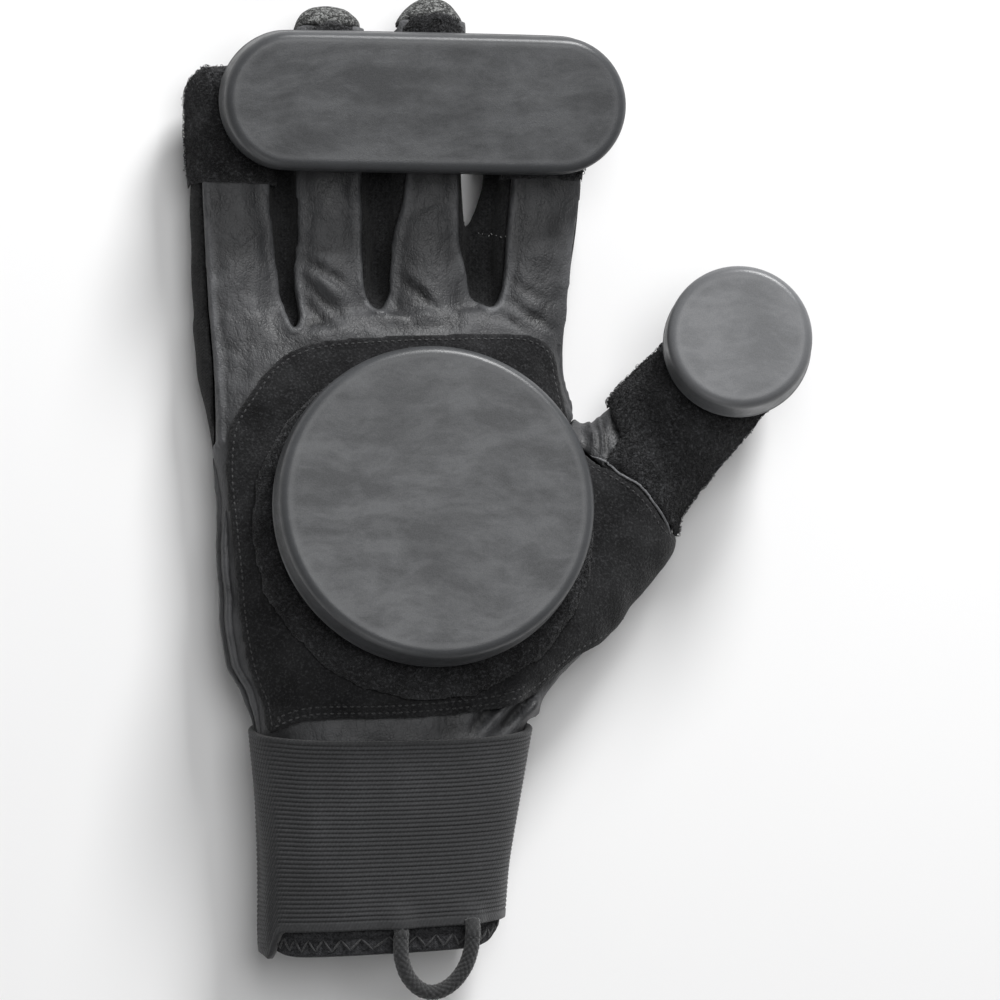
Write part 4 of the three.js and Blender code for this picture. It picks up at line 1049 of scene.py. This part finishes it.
def stitch_row(line, offset, pitch, share=0.68, lift=0.05):
    """Stitches along a flat line, laid on the hand's front grown by an offset, where it isn't steep."""
    run = np.concatenate([[0], np.cumsum(np.hypot(*np.diff(line, axis=0).T))])
    places = np.arange(0.5 * pitch, run[-1], pitch)
    ends = []
    for side in (-0.5, 0.5):
        at = places + side * share * pitch
        x, y = np.interp(at, run, line[:, 0]), np.interp(at, run, line[:, 1])
        ends.append(np.stack([x, y, front_height(offset, x, y) + lift], axis=1))
    level = (np.abs(ends[0][:, 2] - ends[1][:, 2]) < 1.2 * pitch) & (ends[0][:, 2] > 14) & (ends[1][:, 2] > 14)
    return ends[0][level], ends[1][level]


def set_in(line, inset):
    """A closed line moved inwards by an inset, along its own normals."""
    slope = np.roll(line, -1, axis=0) - np.roll(line, 1, axis=0)
    slope /= np.linalg.norm(slope, axis=1, keepdims=True)
    normal = np.stack([slope[:, 1], -slope[:, 0]], axis=1)
    middle = line.mean(0)
    outward = np.sign(((line - middle) * normal).sum(1).mean())
    return line - outward * inset * normal


thread_finish = Finish("thread", Roughness=0.7, Sheen_Weight=0.2)
thread_fibre = thread_finish.use(fibre_group, Scale=6000.0)
thread_finish.put("Base Color", mixed(thread_fibre["Fleck"], (0.012, 0.012, 0.013), (0.045, 0.046, 0.048)))
thread_finish.relief((thread_fibre["Height"], 0.00012, 1.0))

suede_top = LAYER_GAP + SUEDE_THICKNESS
sewing_line, second_line = (set_in(patch_line, inset) for inset in STITCH_INSETS)
lower_row = second_line[(second_line[:, 1] < -52) & (second_line[:, 0] > -62.5)]
lower_row = lower_row[np.argsort(lower_row[:, 0])]
rows = (np.concatenate([sewing_line, sewing_line[:1]]), lower_row)
rows = [stitch_row(line, suede_top, STITCH_PITCH) for line in rows]
starts, ends = (np.concatenate(side) for side in zip(*rows))
points, faces = stitches(starts, ends, UP, STITCH_WIDTH)
settle(add_mesh("palm_patch_stitches", points, faces, [thread_finish.material]))

# A few pale threads show where two side strips meet next to the index finger.
PALE_THREADS = 7
dice = np.random.default_rng(81)
thread_x = np.linspace(-3.0, 3.6, PALE_THREADS) + dice.uniform(-0.4, 0.4, PALE_THREADS)
thread_y = 76.4 - 0.35 * thread_x + dice.uniform(-0.5, 0.5, PALE_THREADS)
step_x, step_y = dice.uniform(-0.45, 0.45, PALE_THREADS), dice.uniform(0.2, 0.6, PALE_THREADS)
starts, ends = (
    np.stack([x, y, front_height(0.0, x, y) + 0.1], axis=1)
    for x, y in ((thread_x, thread_y), (thread_x + step_x, thread_y + step_y))
)
pale_finish = Finish("pale thread", Roughness=0.7)
pale_fibre = pale_finish.use(fibre_group, Scale=6000.0)
pale_finish.put("Base Color", mixed(pale_fibre["Fleck"], (0.25, 0.25, 0.25), (0.5, 0.5, 0.5)))
points, faces = stitches(starts, ends, UP, 0.3)
settle(add_mesh("pale_threads", points, faces, [pale_finish.material]))

# The loop pile that the pucks hook onto: a disc on the palm patch, one patch on the
# front of each finger and a sleeve round the thumb's front, each sewn on at its edge.
PILE_THICKNESS = 1.6
PALM_PILE_MIDDLE = (-21.5, -8.0)
PALM_PILE_RADIUS = 48.5
# Both ends of the middle line of each puck's base, and the puck's radius
PUCK_SPOTS = [
    ((-20.3, -3.2), (-20.2, -3.2), 44.7), ((-59.5, 111.2), (15.4, 112.8), 19.8), ((67.7, 44.6), (67.8, 44.6), 21.0),
]
PILE_LOOP_RINGS = 4
# The arches of yarn, each between two limits: half span, height and thickness
YARN_SPANS = (0.4, 0.75)
YARN_HEIGHTS = (0.45, 0.85)
YARN_THICKNESS = (0.07, 0.12)
YARN_SINK = 0.15
pile = nap_finish("loop pile", (0.01, 0.01, 0.0107), (0.115, 0.117, 0.123), 1250.0, 0.0008, 0.75)


def yarn_loops(feet, outward, seed):
    """One arch of yarn at each foot: half an ellipse over the cloth, in a seeded direction, with a
    three-sided tube round it."""
    dice = np.random.default_rng(seed)
    heading = np.cross(outward, dice.normal(size=feet.shape))
    heading /= np.linalg.norm(heading, axis=1, keepdims=True)
    side = np.cross(heading, outward)
    span, height = (dice.uniform(*limits, (len(feet), 1)) for limits in (YARN_SPANS, YARN_HEIGHTS))
    turn = np.linspace(0, np.pi, PILE_LOOP_RINGS)
    across, rise = -np.cos(turn), np.sin(turn)
    angle = ring_angles(3)
    thick = dice.uniform(*YARN_THICKNESS, (len(feet), 1, 1, 1))
    middle = (
        feet[:, None] + heading[:, None] * (span * across)[..., None]
        + outward[:, None] * (height * rise - YARN_SINK)[..., None]
    )
    radial = heading[:, None] * across[None, :, None] + outward[:, None] * rise[None, :, None]
    cosine, sine = np.cos(angle)[:, None], np.sin(angle)[:, None]
    rings = middle[:, :, None] + thick * (radial[:, :, None] * cosine + side[:, None, None] * sine)
    faces = wrapped_grid(PILE_LOOP_RINGS, 3)
    last = (PILE_LOOP_RINGS - 1) * 3
    faces = np.concatenate([faces, [[2, 1, 0, 0], [last, last + 1, last + 2, last + 2]]])
    offsets = np.arange(len(feet))[:, None, None] * PILE_LOOP_RINGS * 3
    return rings.reshape(-1, 3), (faces[None] + offsets).reshape(-1, 4)


def add_pile(name, form, offset, seed, node):
    """A pile patch from its form, standing for its CAD node: its upper side is uneven, and arches
    of yarn stand on all of it that a puck doesn't hide."""
    points, faces = surface_of(form)
    outward = outward_of(points)
    upper = eased_step(value_at(hand, points), offset + 0.5, offset + 1.2)
    relief = cloudy(points[:, 0], points[:, 1] + 1.3 * points[:, 2], 2.0, 5.0, seed, 30)
    points = points + outward * (0.12 * relief * upper)[:, None]
    hidden = np.full(len(points), False)
    for one_end, other_end, radius in PUCK_SPOTS:
        hidden |= line_distance(np.array([one_end, other_end]), points[:, 0], points[:, 1])[0] < radius - 3.0
    dice = np.random.default_rng(seed)
    chosen = (upper > 0.9) & ~hidden & (points[:, 2] > 9.0) & (dice.random(len(points)) < 0.85)
    feet = points[chosen] + dice.uniform(-0.3, 0.3, (chosen.sum(), 3))
    points, faces = joined([(points, faces), yarn_loops(feet, outward[chosen], seed + 1)])
    piece = add_mesh(name, points, faces, [pile])
    mark(piece, "cut", np.zeros(len(points)))
    settle(piece, node)


def pile_layer(region, lowest, offset):
    """A pile's form: a layer whose thickness fades to nothing over its outermost 1.5 mm."""
    inside = np.minimum(region[..., None] * 0.8, (Z - lowest) * 0.5)
    thickness = PILE_THICKNESS * eased_step(inside, -0.8, 1.5)
    return trimmed(np.maximum(hand - offset - thickness, offset - hand), -inside, 0.5)


palm_pile_offset = suede_top + LAYER_GAP
ring_distance = PALM_PILE_RADIUS - np.hypot(flat_x - PALM_PILE_MIDDLE[0], flat_y - PALM_PILE_MIDDLE[1])
ring_distance = ring_distance + 0.4 * cloudy(flat_x, flat_y, 9.0, 24.0, 8)
add_pile("palm_pile", pile_layer(ring_distance, 18.4, palm_pile_offset), palm_pile_offset, 11, "palm_loop")
# How far each finger's patch reaches: its lower edge, its upper edge below the tip, its
# half width, and the lowest height on the finger's side
FINGER_PILES = {
    "pinky": (88.7, 0.5, 13.6, 9.0), "ring": (94.0, 6.0, 8.8, 15.0),
    "middle": (94.0, 5.2, 9.8, 15.0), "index": (91.6, 5.2, 12.3, 15.0),
}
PILE_CORNER = 7.5
for seed, (name, root_x, tip_x, tip_y, widths) in enumerate(FINGERS):
    low_y, below_tip, half_width, lowest = FINGER_PILES[name]
    middle_x = finger_middle(root_x, tip_x, tip_y, flat_y)
    high_y = tip_y - below_tip
    past_side = np.abs(flat_x - middle_x) - half_width + PILE_CORNER
    past_end = flat_y - high_y + PILE_CORNER
    region = PILE_CORNER - np.hypot(np.maximum(past_side, 0), np.maximum(past_end, 0))
    region = region - np.minimum(np.maximum(past_side, past_end), 0)
    region = np.minimum(region, flat_y - low_y) + 0.25 * cloudy(flat_x, flat_y, 3.0, 7.0, 20 + seed)
    add_pile(f"{name}_pile", pile_layer(region, lowest, LAYER_GAP), LAYER_GAP, 30 + 2 * seed, f"{name}_loop")
flat_run, flat_level = thumb_run[..., 0], thumb_level[..., 0]
sleeve_edge = np.interp(flat_level, (-25.0, -16.0, -9.0, -7.3, 25.0), (26.0, 19.0, 14.3, 2.0, 2.0))
sleeve_region = np.minimum(np.minimum(flat_run - sleeve_edge, 25.0 - np.abs(flat_level)), -patch_region - 0.4)
sleeve_region = sleeve_region + 0.2 * cloudy(flat_x, flat_y, 3.0, 7.0, 9)
add_pile("thumb_pile", pile_layer(sleeve_region, 11.0, LAYER_GAP), LAYER_GAP, 12, "thumb_loop")

# The pucks are thick blocks of moulded plastic with a rounded upper edge, a drafted wall
# and a thin rim at the base. Their faces are rubbed and smeared by sliding.
PUCK_THICKNESS = 12.8
PUCK_FILLET = 2.8
PUCK_DRAFT = 0.5
PUCK_SIDES = 192
# The profile near the base, as how far in and how far up, and across the face, as how far in
# from the fillet and how far below the top
PUCK_FOOT = np.array([
    (0.9, 0.0), (0.35, 0.05), (0.1, 0.3), (0.0, 0.7), (0.0, 1.1), (0.08, 1.35), (0.16, 1.5), (0.2, 2.2),
])
PUCK_FACE = np.array([(0.6, 0.01), (1.6, 0.03), (3.4, 0.05), (6.5, 0.07), (10.0, 0.08), (14.0, 0.08)])
PUCK_FILLET_STEPS = 8

scuff_group, place, scale = new_group("scuffs", "Scale", 60.0)
swirl = swirled(place, times(scale, 0.5), 0.016)
smear = noise(swirl, scale, 5.0, 0.7, (1.0, 2.2, 1.0))
scratches = noise(swirl, times(scale, 10.0), 3.0, 0.6, (0.12, 1.0, 1.0))
give(
    scuff_group, Smear=ranged(smear, 0.4, 0.62), Scratch=ranged(scratches, 0.6, 0.72),
    Grit=noise(place, times(scale, 45.0), 3.0, 0.7),
)


def plastic_finish(name, low, high, roughness):
    """Moulded plastic: smeared sheen, faint scratches, fine grit and a rubbed upper edge."""
    finish = Finish(name, Specular_IOR_Level=0.4)
    scuffs, rim = finish.use(scuff_group, Scale=55.0), finish.read("rim")
    tone = weighted(scuffs["Scratch"], 0.16, scuffs["Smear"], 0.52)
    tone = math_of("MULTIPLY_ADD", ranged(scuffs["Grit"], 0.34, 0.66), 0.4, tone)
    worn = mixed(scuffs["Grit"], scaled(high, 0.75), scaled(high, 1.05))
    finish.put("Base Color", mixed(times(rim, 0.7), mixed(tone, low, high), worn))
    uneven = ranged(scuffs["Smear"], 0.0, 1.0, roughness + 0.1, roughness - 0.05)
    uneven = math_of("SUBTRACT", uneven, roughness)
    rough = math_of("MULTIPLY_ADD", uneven, math_of("MULTIPLY_ADD", rim, -0.9, 1.0), roughness)
    finish.put("Roughness", math_of("MULTIPLY_ADD", rim, -0.08, rough))
    finish.relief((math_of("MULTIPLY_ADD", scuffs["Scratch"], -0.2, scuffs["Grit"]), 0.00006, 0.7))
    return finish.material


dark_plastic = plastic_finish("dark puck plastic", (0.03, 0.0311, 0.0332), (0.074, 0.0766, 0.081), 0.4)
pale_plastic = plastic_finish("thumb puck plastic", (0.098, 0.1004, 0.105), (0.152, 0.1553, 0.162), 0.38)


def node_points(node):
    """A CAD node's corners in mm, where the glove was drawn."""
    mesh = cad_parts[node].data
    flat = np.zeros(len(mesh.vertices) * 3, np.float32)
    mesh.vertices.foreach_get("co", flat)
    return np.unique(flat.reshape(-1, 3).round(7), axis=0).astype(float) * 1000 - FRAME_OFFSET


def puck(node, length, width, seed):
    """A block whose outline is a circle, or a bar with round ends, carried up a profile: out to
    the rim at its base, in along the drafted wall, over the fillet and across the face. It stands
    where the node's corners say: their middle, and the directions in which they spread."""
    corners = node_points(node)
    middle = (corners.max(0) + corners.min(0)) / 2
    _, _, spread = np.linalg.svd(corners - corners.mean(0), full_matrices=False)
    up = spread[2] * np.sign(spread[2][2])
    side = spread[0] * np.sign(spread[0][0]) if length > width else np.cross([0.0, 1.0, 0.0], up)
    side = side - (side @ up) * up
    side /= np.linalg.norm(side)
    forth = np.cross(up, side)
    heights = (corners - corners.mean(0)) @ up
    middle = corners.mean(0) + up * (heights.min() + heights.max()) / 2
    for axis in (side, forth):
        spans = (corners - middle) @ axis
        middle = middle + axis * (spans.min() + spans.max()) / 2
    base = middle - up * PUCK_THICKNESS / 2
    turn = np.linspace(0, np.pi / 2, PUCK_FILLET_STEPS + 1)[1:]
    inset = np.concatenate([
        PUCK_FOOT[:, 0], [PUCK_DRAFT], PUCK_DRAFT + PUCK_FILLET * (1 - np.cos(turn)),
        PUCK_DRAFT + PUCK_FILLET + PUCK_FACE[:, 0],
    ])
    height = np.concatenate([
        PUCK_FOOT[:, 1], [PUCK_THICKNESS - PUCK_FILLET], PUCK_THICKNESS - PUCK_FILLET * (1 - np.sin(turn)),
        PUCK_THICKNESS - PUCK_FACE[:, 1],
    ])
    angle = ring_angles(PUCK_SIDES)
    straight = (length - width) / 2
    radius = width / 2 - inset[:, None]
    across = radius * np.cos(angle) + straight * np.tanh(14 * np.cos(angle))
    along = radius * np.sin(angle) * np.ones_like(inset)[:, None]
    # The first and last rings are the middle line of the outline, which both its sides share
    core = straight * np.tanh(14 * np.cos(angle))[None]
    along = np.concatenate([0 * core, along, 0 * core])
    across = np.concatenate([core, across, core])
    height = np.concatenate([height[:1], height, height[-1:]])
    grid = base + across[..., None] * side + along[..., None] * forth + height[:, None, None] * up
    wobble = 0.05 * cloudy(grid[..., 0], grid[..., 1], 18.0, 45.0, seed)
    grid = grid + (wobble * eased_step(height, 8.0, 12.0)[:, None])[..., None] * up
    rim = np.concatenate([[0], np.exp(-((height[1:-1] - PUCK_THICKNESS + 0.6) / 0.9) ** 2) * (inset < 4.2), [0]])
    numbers = np.arange(len(grid) * PUCK_SIDES).reshape(len(grid), PUCK_SIDES)
    column = np.arange(PUCK_SIDES)
    shared = np.minimum(column, PUCK_SIDES - column) * (straight > 0)
    numbers[0], numbers[-1] = shared, numbers[-1, 0] + shared
    used, faces = np.unique(faces_of(numbers), return_inverse=True)
    return grid.reshape(-1, 3)[used], faces.reshape(-1, 4), np.repeat(rim, PUCK_SIDES)[used]


for name, length, width, material, seed in [
    ("palm", 89.4, 89.4, dark_plastic, 41), ("finger", 114.5, 39.6, dark_plastic, 42),
    ("thumb", 42.0, 42.0, pale_plastic, 43),
]:
    points, faces, rim = puck(f"{name}_puck", length, width, seed)
    piece = add_mesh(f"{name}_puck_block", points, faces, [material])
    mark(piece, "rim", rim)
    settle(piece, f"{name}_puck")

# The hook backings are black hook tape under each puck, glued to it.
hook_finish = Finish("hook tape", Roughness=0.9)
hooks = add_node(hook_finish.tree, "ShaderNodeTexVoronoi", Vector=hook_finish.place, Scale=1400.0).outputs["Distance"]
hook_finish.put("Base Color", mixed(hooks, (0.012, 0.012, 0.013), (0.004, 0.004, 0.004)))
hook_finish.relief((hooks, 0.0004, 1.0))
for node in ("palm_hook", "finger_hook", "thumb_hook"):
    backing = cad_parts[node]
    backing.data.materials.clear()
    backing.data.materials.append(hook_finish.material)

# The cuff is a tube of wide ribbed elastic, sewn shut into a ring. Its ribs run round it,
# and its lower edge ends in a point at the corner towards the little finger.
CUFF_TOP = -63.536
CUFF_BOTTOM = -118.036
CUFF_LENGTH = CUFF_TOP - CUFF_BOTTOM
# A section's width, middle, slant and lean at the upper edge, and how they change by the lower
CUFF_WIDTH, CUFF_TAPER = 80.0, 10.6
CUFF_MIDDLE, CUFF_DRIFT = -29.309, -2.72
CUFF_SLANT = 1.76
CUFF_LEAN, CUFF_LEAN_LOSS = 4.5, 0.6
CUFF_WAIST = 0.9
CUFF_SQUARE = 0.8
CUFF_DEPTH = 38.6
CUFF_WALL = 1.9
CUFF_SIDES = 200
CUFF_ROWS = 280
CUFF_INNER_ROWS = 16
RIB_PITCH = 1.26
RIB_DEPTH = 0.34
# The point at the corner: places beside it, and how far the lower edge hangs down there
TAB_PLACES = (-5.0, 0.0, 1.4, 2.2, 3.1, 4.2, 5.4)
TAB_DROPS = (5.0, 6.2, 7.7, 6.3, 3.2, 0.7, 0.0)
TAB_BACK_SHARE = 0.75
# The cord's two legs lift the lower edge: where they are, how wide, how high and how far up
LEG_PLACES = (-28.9, -8.9)
LEG_WIDTH = 3.6
LEG_LIFT = 2.3
LEG_REACH = (0.5, 9.0)


def cuff_section(y, angle, grow):
    """Points of the cuff's tube at section places y and angles, grown by a distance: a rounded box
    whose width, middle and lean change evenly from the upper edge to the lower one."""
    share = np.clip((CUFF_TOP - y) / CUFF_LENGTH, 0, 1.25)
    width = CUFF_WIDTH - CUFF_TAPER * share
    waist = CUFF_WAIST * np.sin(np.pi * np.clip(share, 0, 1))
    slant = CUFF_SLANT * (1 + share)
    lean = CUFF_LEAN * (1 - CUFF_LEAN_LOSS * share)
    c, s = np.cos(angle), np.sin(angle)
    across = np.sign(c) * np.abs(c) ** CUFF_SQUARE * (width / 2 - waist + grow)
    up = np.sign(s) * np.abs(s) ** CUFF_SQUARE * (CUFF_DEPTH / 2 + grow)
    return np.stack(np.broadcast_arrays(
        CUFF_MIDDLE + CUFF_DRIFT * share + across, y + slant / width * across - 2 * lean / CUFF_DEPTH * up,
        CUFF_DEPTH / 2 + up,
    ), axis=-1)


def rounded_off(from_edge, radius, depth):
    """How far a surface draws in beside an edge: a quarter of an ellipse, as deep as depth at the
    edge and level from the radius on."""
    return -depth * (1 - np.sqrt(np.clip(1 - ((radius - from_edge).clip(0) / radius) ** 2, 0, 1)))


def sleeve(name, outer, inner, material):
    """A tube with a wall: its outer rows down from the top, and its inner rows back up."""
    points = np.concatenate([outer, inner])
    return add_mesh(name, points.reshape(-1, 3), wrapped_grid(*points.shape[:2], True), [material])


cuff_angle = ring_angles(CUFF_SIDES)[None, :]
corner_x = CUFF_MIDDLE + CUFF_DRIFT - (CUFF_WIDTH - CUFF_TAPER) / 2
lower_x = cuff_section(np.array([[CUFF_BOTTOM]]), cuff_angle, 0.0)[0, :, 0]
cuff_sine = np.sin(cuff_angle[0])
tab = np.interp(lower_x, corner_x + np.array(TAB_PLACES), TAB_DROPS)
tab = tab * (np.abs(cuff_sine) < 0.9) * np.where(cuff_sine > 0, 1.0, TAB_BACK_SHARE)
cuff_lower = CUFF_BOTTOM - tab[None, :]
outer_y = CUFF_TOP + (cuff_lower - CUFF_TOP) * np.linspace(0, 1, CUFF_ROWS)[:, None]
inner_y = CUFF_TOP + (cuff_lower - CUFF_TOP) * np.linspace(1, 0, CUFF_INNER_ROWS)[:, None]
over_edge, under_top = outer_y - cuff_lower, CUFF_TOP - outer_y
rib = np.abs(np.sin(np.pi * (outer_y - CUFF_TOP) / RIB_PITCH))
selvage = eased_step(over_edge, 1.6, 2.6) * eased_step(under_top, 0.8, 1.4)
front = cuff_section(outer_y, cuff_angle, 0.0)
gather = 0.22 * cloudy(front[..., 0] + front[..., 2], outer_y * 0.25 + 0.5 * front[..., 2], 9.0, 24.0, 51)
edge_round = rounded_off(np.minimum(over_edge, under_top), 0.5, 0.45)
legs = sum(np.exp(-(((front[..., 0] - leg) / LEG_WIDTH) ** 2)) for leg in LEG_PLACES) * (front[..., 2] > 25)
lift = LEG_LIFT * legs * (1 - eased_step(over_edge, *LEG_REACH))
inner_lift = LEG_LIFT * legs[-1:] * (1 - eased_step(inner_y - cuff_lower, *LEG_REACH))
outer = cuff_section(outer_y, cuff_angle, -RIB_DEPTH * (1 - rib**0.7) * selvage + gather + edge_round + lift)
inner = cuff_section(inner_y, cuff_angle, -CUFF_WALL + inner_lift)

elastic_finish = Finish("ribbed elastic", Roughness=0.82, Sheen_Weight=0.15, Sheen_Roughness=0.5)
twill = math_of("MULTIPLY_ADD", elastic_finish.read("down"), 0.45, elastic_finish.read("around"))
twill = math_of("PINGPONG", math_of("DIVIDE", twill, 1.1), 0.5)
elastic_fibre = elastic_finish.use(fibre_group, Scale=4200.0)
# Painted shade: darker in the grooves between the ribs, where the rib mark is low
tone = weighted(elastic_finish.read("rib"), 0.55, twill, 0.35)
tone = math_of("MULTIPLY_ADD", elastic_fibre["Fleck"], 0.22, tone)
tone = times(tone, ranged(noise(elastic_finish.place, 55.0, 3.0), 0.3, 0.7, 0.75, 1.15))
elastic_finish.put("Base Color", mixed(tone, (0.002, 0.002, 0.0022), (0.04, 0.041, 0.044)))
elastic_finish.relief((twill, 0.00022, 0.8), (elastic_fibre["Height"], 0.00015, 0.6))

cuff = sleeve("elastic_cuff", outer, inner, elastic_finish.material)
cuff_run = np.linalg.norm(np.diff(outer[60], axis=0, append=outer[60][:1]), axis=1)
mark(cuff, "around", np.tile(np.concatenate([[0], np.cumsum(cuff_run)[:-1]]), CUFF_ROWS + CUFF_INNER_ROWS))
mark(cuff, "down", np.concatenate([outer_y, inner_y]) + 0 * cuff_angle)
# The rib mark is high on the ribs' crests and low in their grooves, for the painted shade; it is even on the selvages
# and lower inside the tube, painted shade there too
mark(cuff, "rib", np.concatenate([rib * selvage + 0.6 * (1 - selvage), 0.4 + 0 * inner_y]))
settle(cuff, "cuff_elastic")

# The hem of the lining shows below the elastic: a soft knit folded over and held by a
# zigzag of thread.
HEM_DROP = 7.4
HEM_TUCK = 8.0
HEM_WALL = 2.2
HEM_ROWS = 40
HEM_INNER_ROWS = 10
HEM_SIDES = 200
HEM_CORNER_RISE = 3.4
HEM_FOLD_HEIGHT = 5.6
hem_upper, hem_lower = CUFF_BOTTOM + HEM_TUCK, CUFF_BOTTOM - HEM_DROP
hem_angle = ring_angles(HEM_SIDES)[None, :]
outset = -CUFF_WALL - 0.3
hem_edge = hem_lower + HEM_CORNER_RISE * (np.abs(np.cos(hem_angle)) ** CUFF_SQUARE) ** 14
hem_y = hem_upper + (hem_edge - hem_upper) * np.linspace(0, 1, HEM_ROWS)[:, None]
hem_inner_y = hem_upper + (hem_edge - hem_upper) * np.linspace(1, 0, HEM_INNER_ROWS)[:, None]
hem_front = cuff_section(hem_y, hem_angle, outset)
from_edge = hem_y - hem_edge
puff = 0.28 * cloudy(hem_front[..., 0] + hem_front[..., 2], hem_y, 4.0, 11.0, 61) * eased_step(from_edge, 0, 2)
fold_groove = -0.45 * np.exp(-(((from_edge - HEM_FOLD_HEIGHT) / 0.5) ** 2))
hem_outer = cuff_section(hem_y, hem_angle, outset + puff + rounded_off(from_edge, 1.1, 0.9) + fold_groove)
hem_inner = cuff_section(hem_inner_y, hem_angle, outset - HEM_WALL + 0.9 * (hem_inner_y < hem_edge + 0.5))
hem_knit = knit_finish("hem knit", (0.008, 0.008, 0.009), (0.058, 0.059, 0.063), 0.0008)
settle(sleeve("hem_knit", hem_outer, hem_inner, hem_knit), "cuff_hem")

ZIGZAG_ENDS = 76
ZIGZAG_LOW, ZIGZAG_HIGH = 1.6, 5.0
ZIGZAG_WIDTH = 0.6
zig_angle = ring_angles(ZIGZAG_ENDS)
dice = np.random.default_rng(62)
zig_y = hem_lower + HEM_CORNER_RISE * np.abs(np.cos(zig_angle)) ** 11
zig_y = zig_y + np.where(np.arange(ZIGZAG_ENDS) % 2, ZIGZAG_HIGH, ZIGZAG_LOW) + dice.uniform(-0.25, 0.25, ZIGZAG_ENDS)
zig = cuff_section(zig_y, zig_angle, outset + 0.62)
zig_out = cuff_section(zig_y, zig_angle, outset + 1.62) - zig
points, faces = stitches(zig, np.roll(zig, -1, axis=0), zig_out, ZIGZAG_WIDTH)
settle(add_mesh("hem_zigzag", points, faces, [thread_finish.material]))
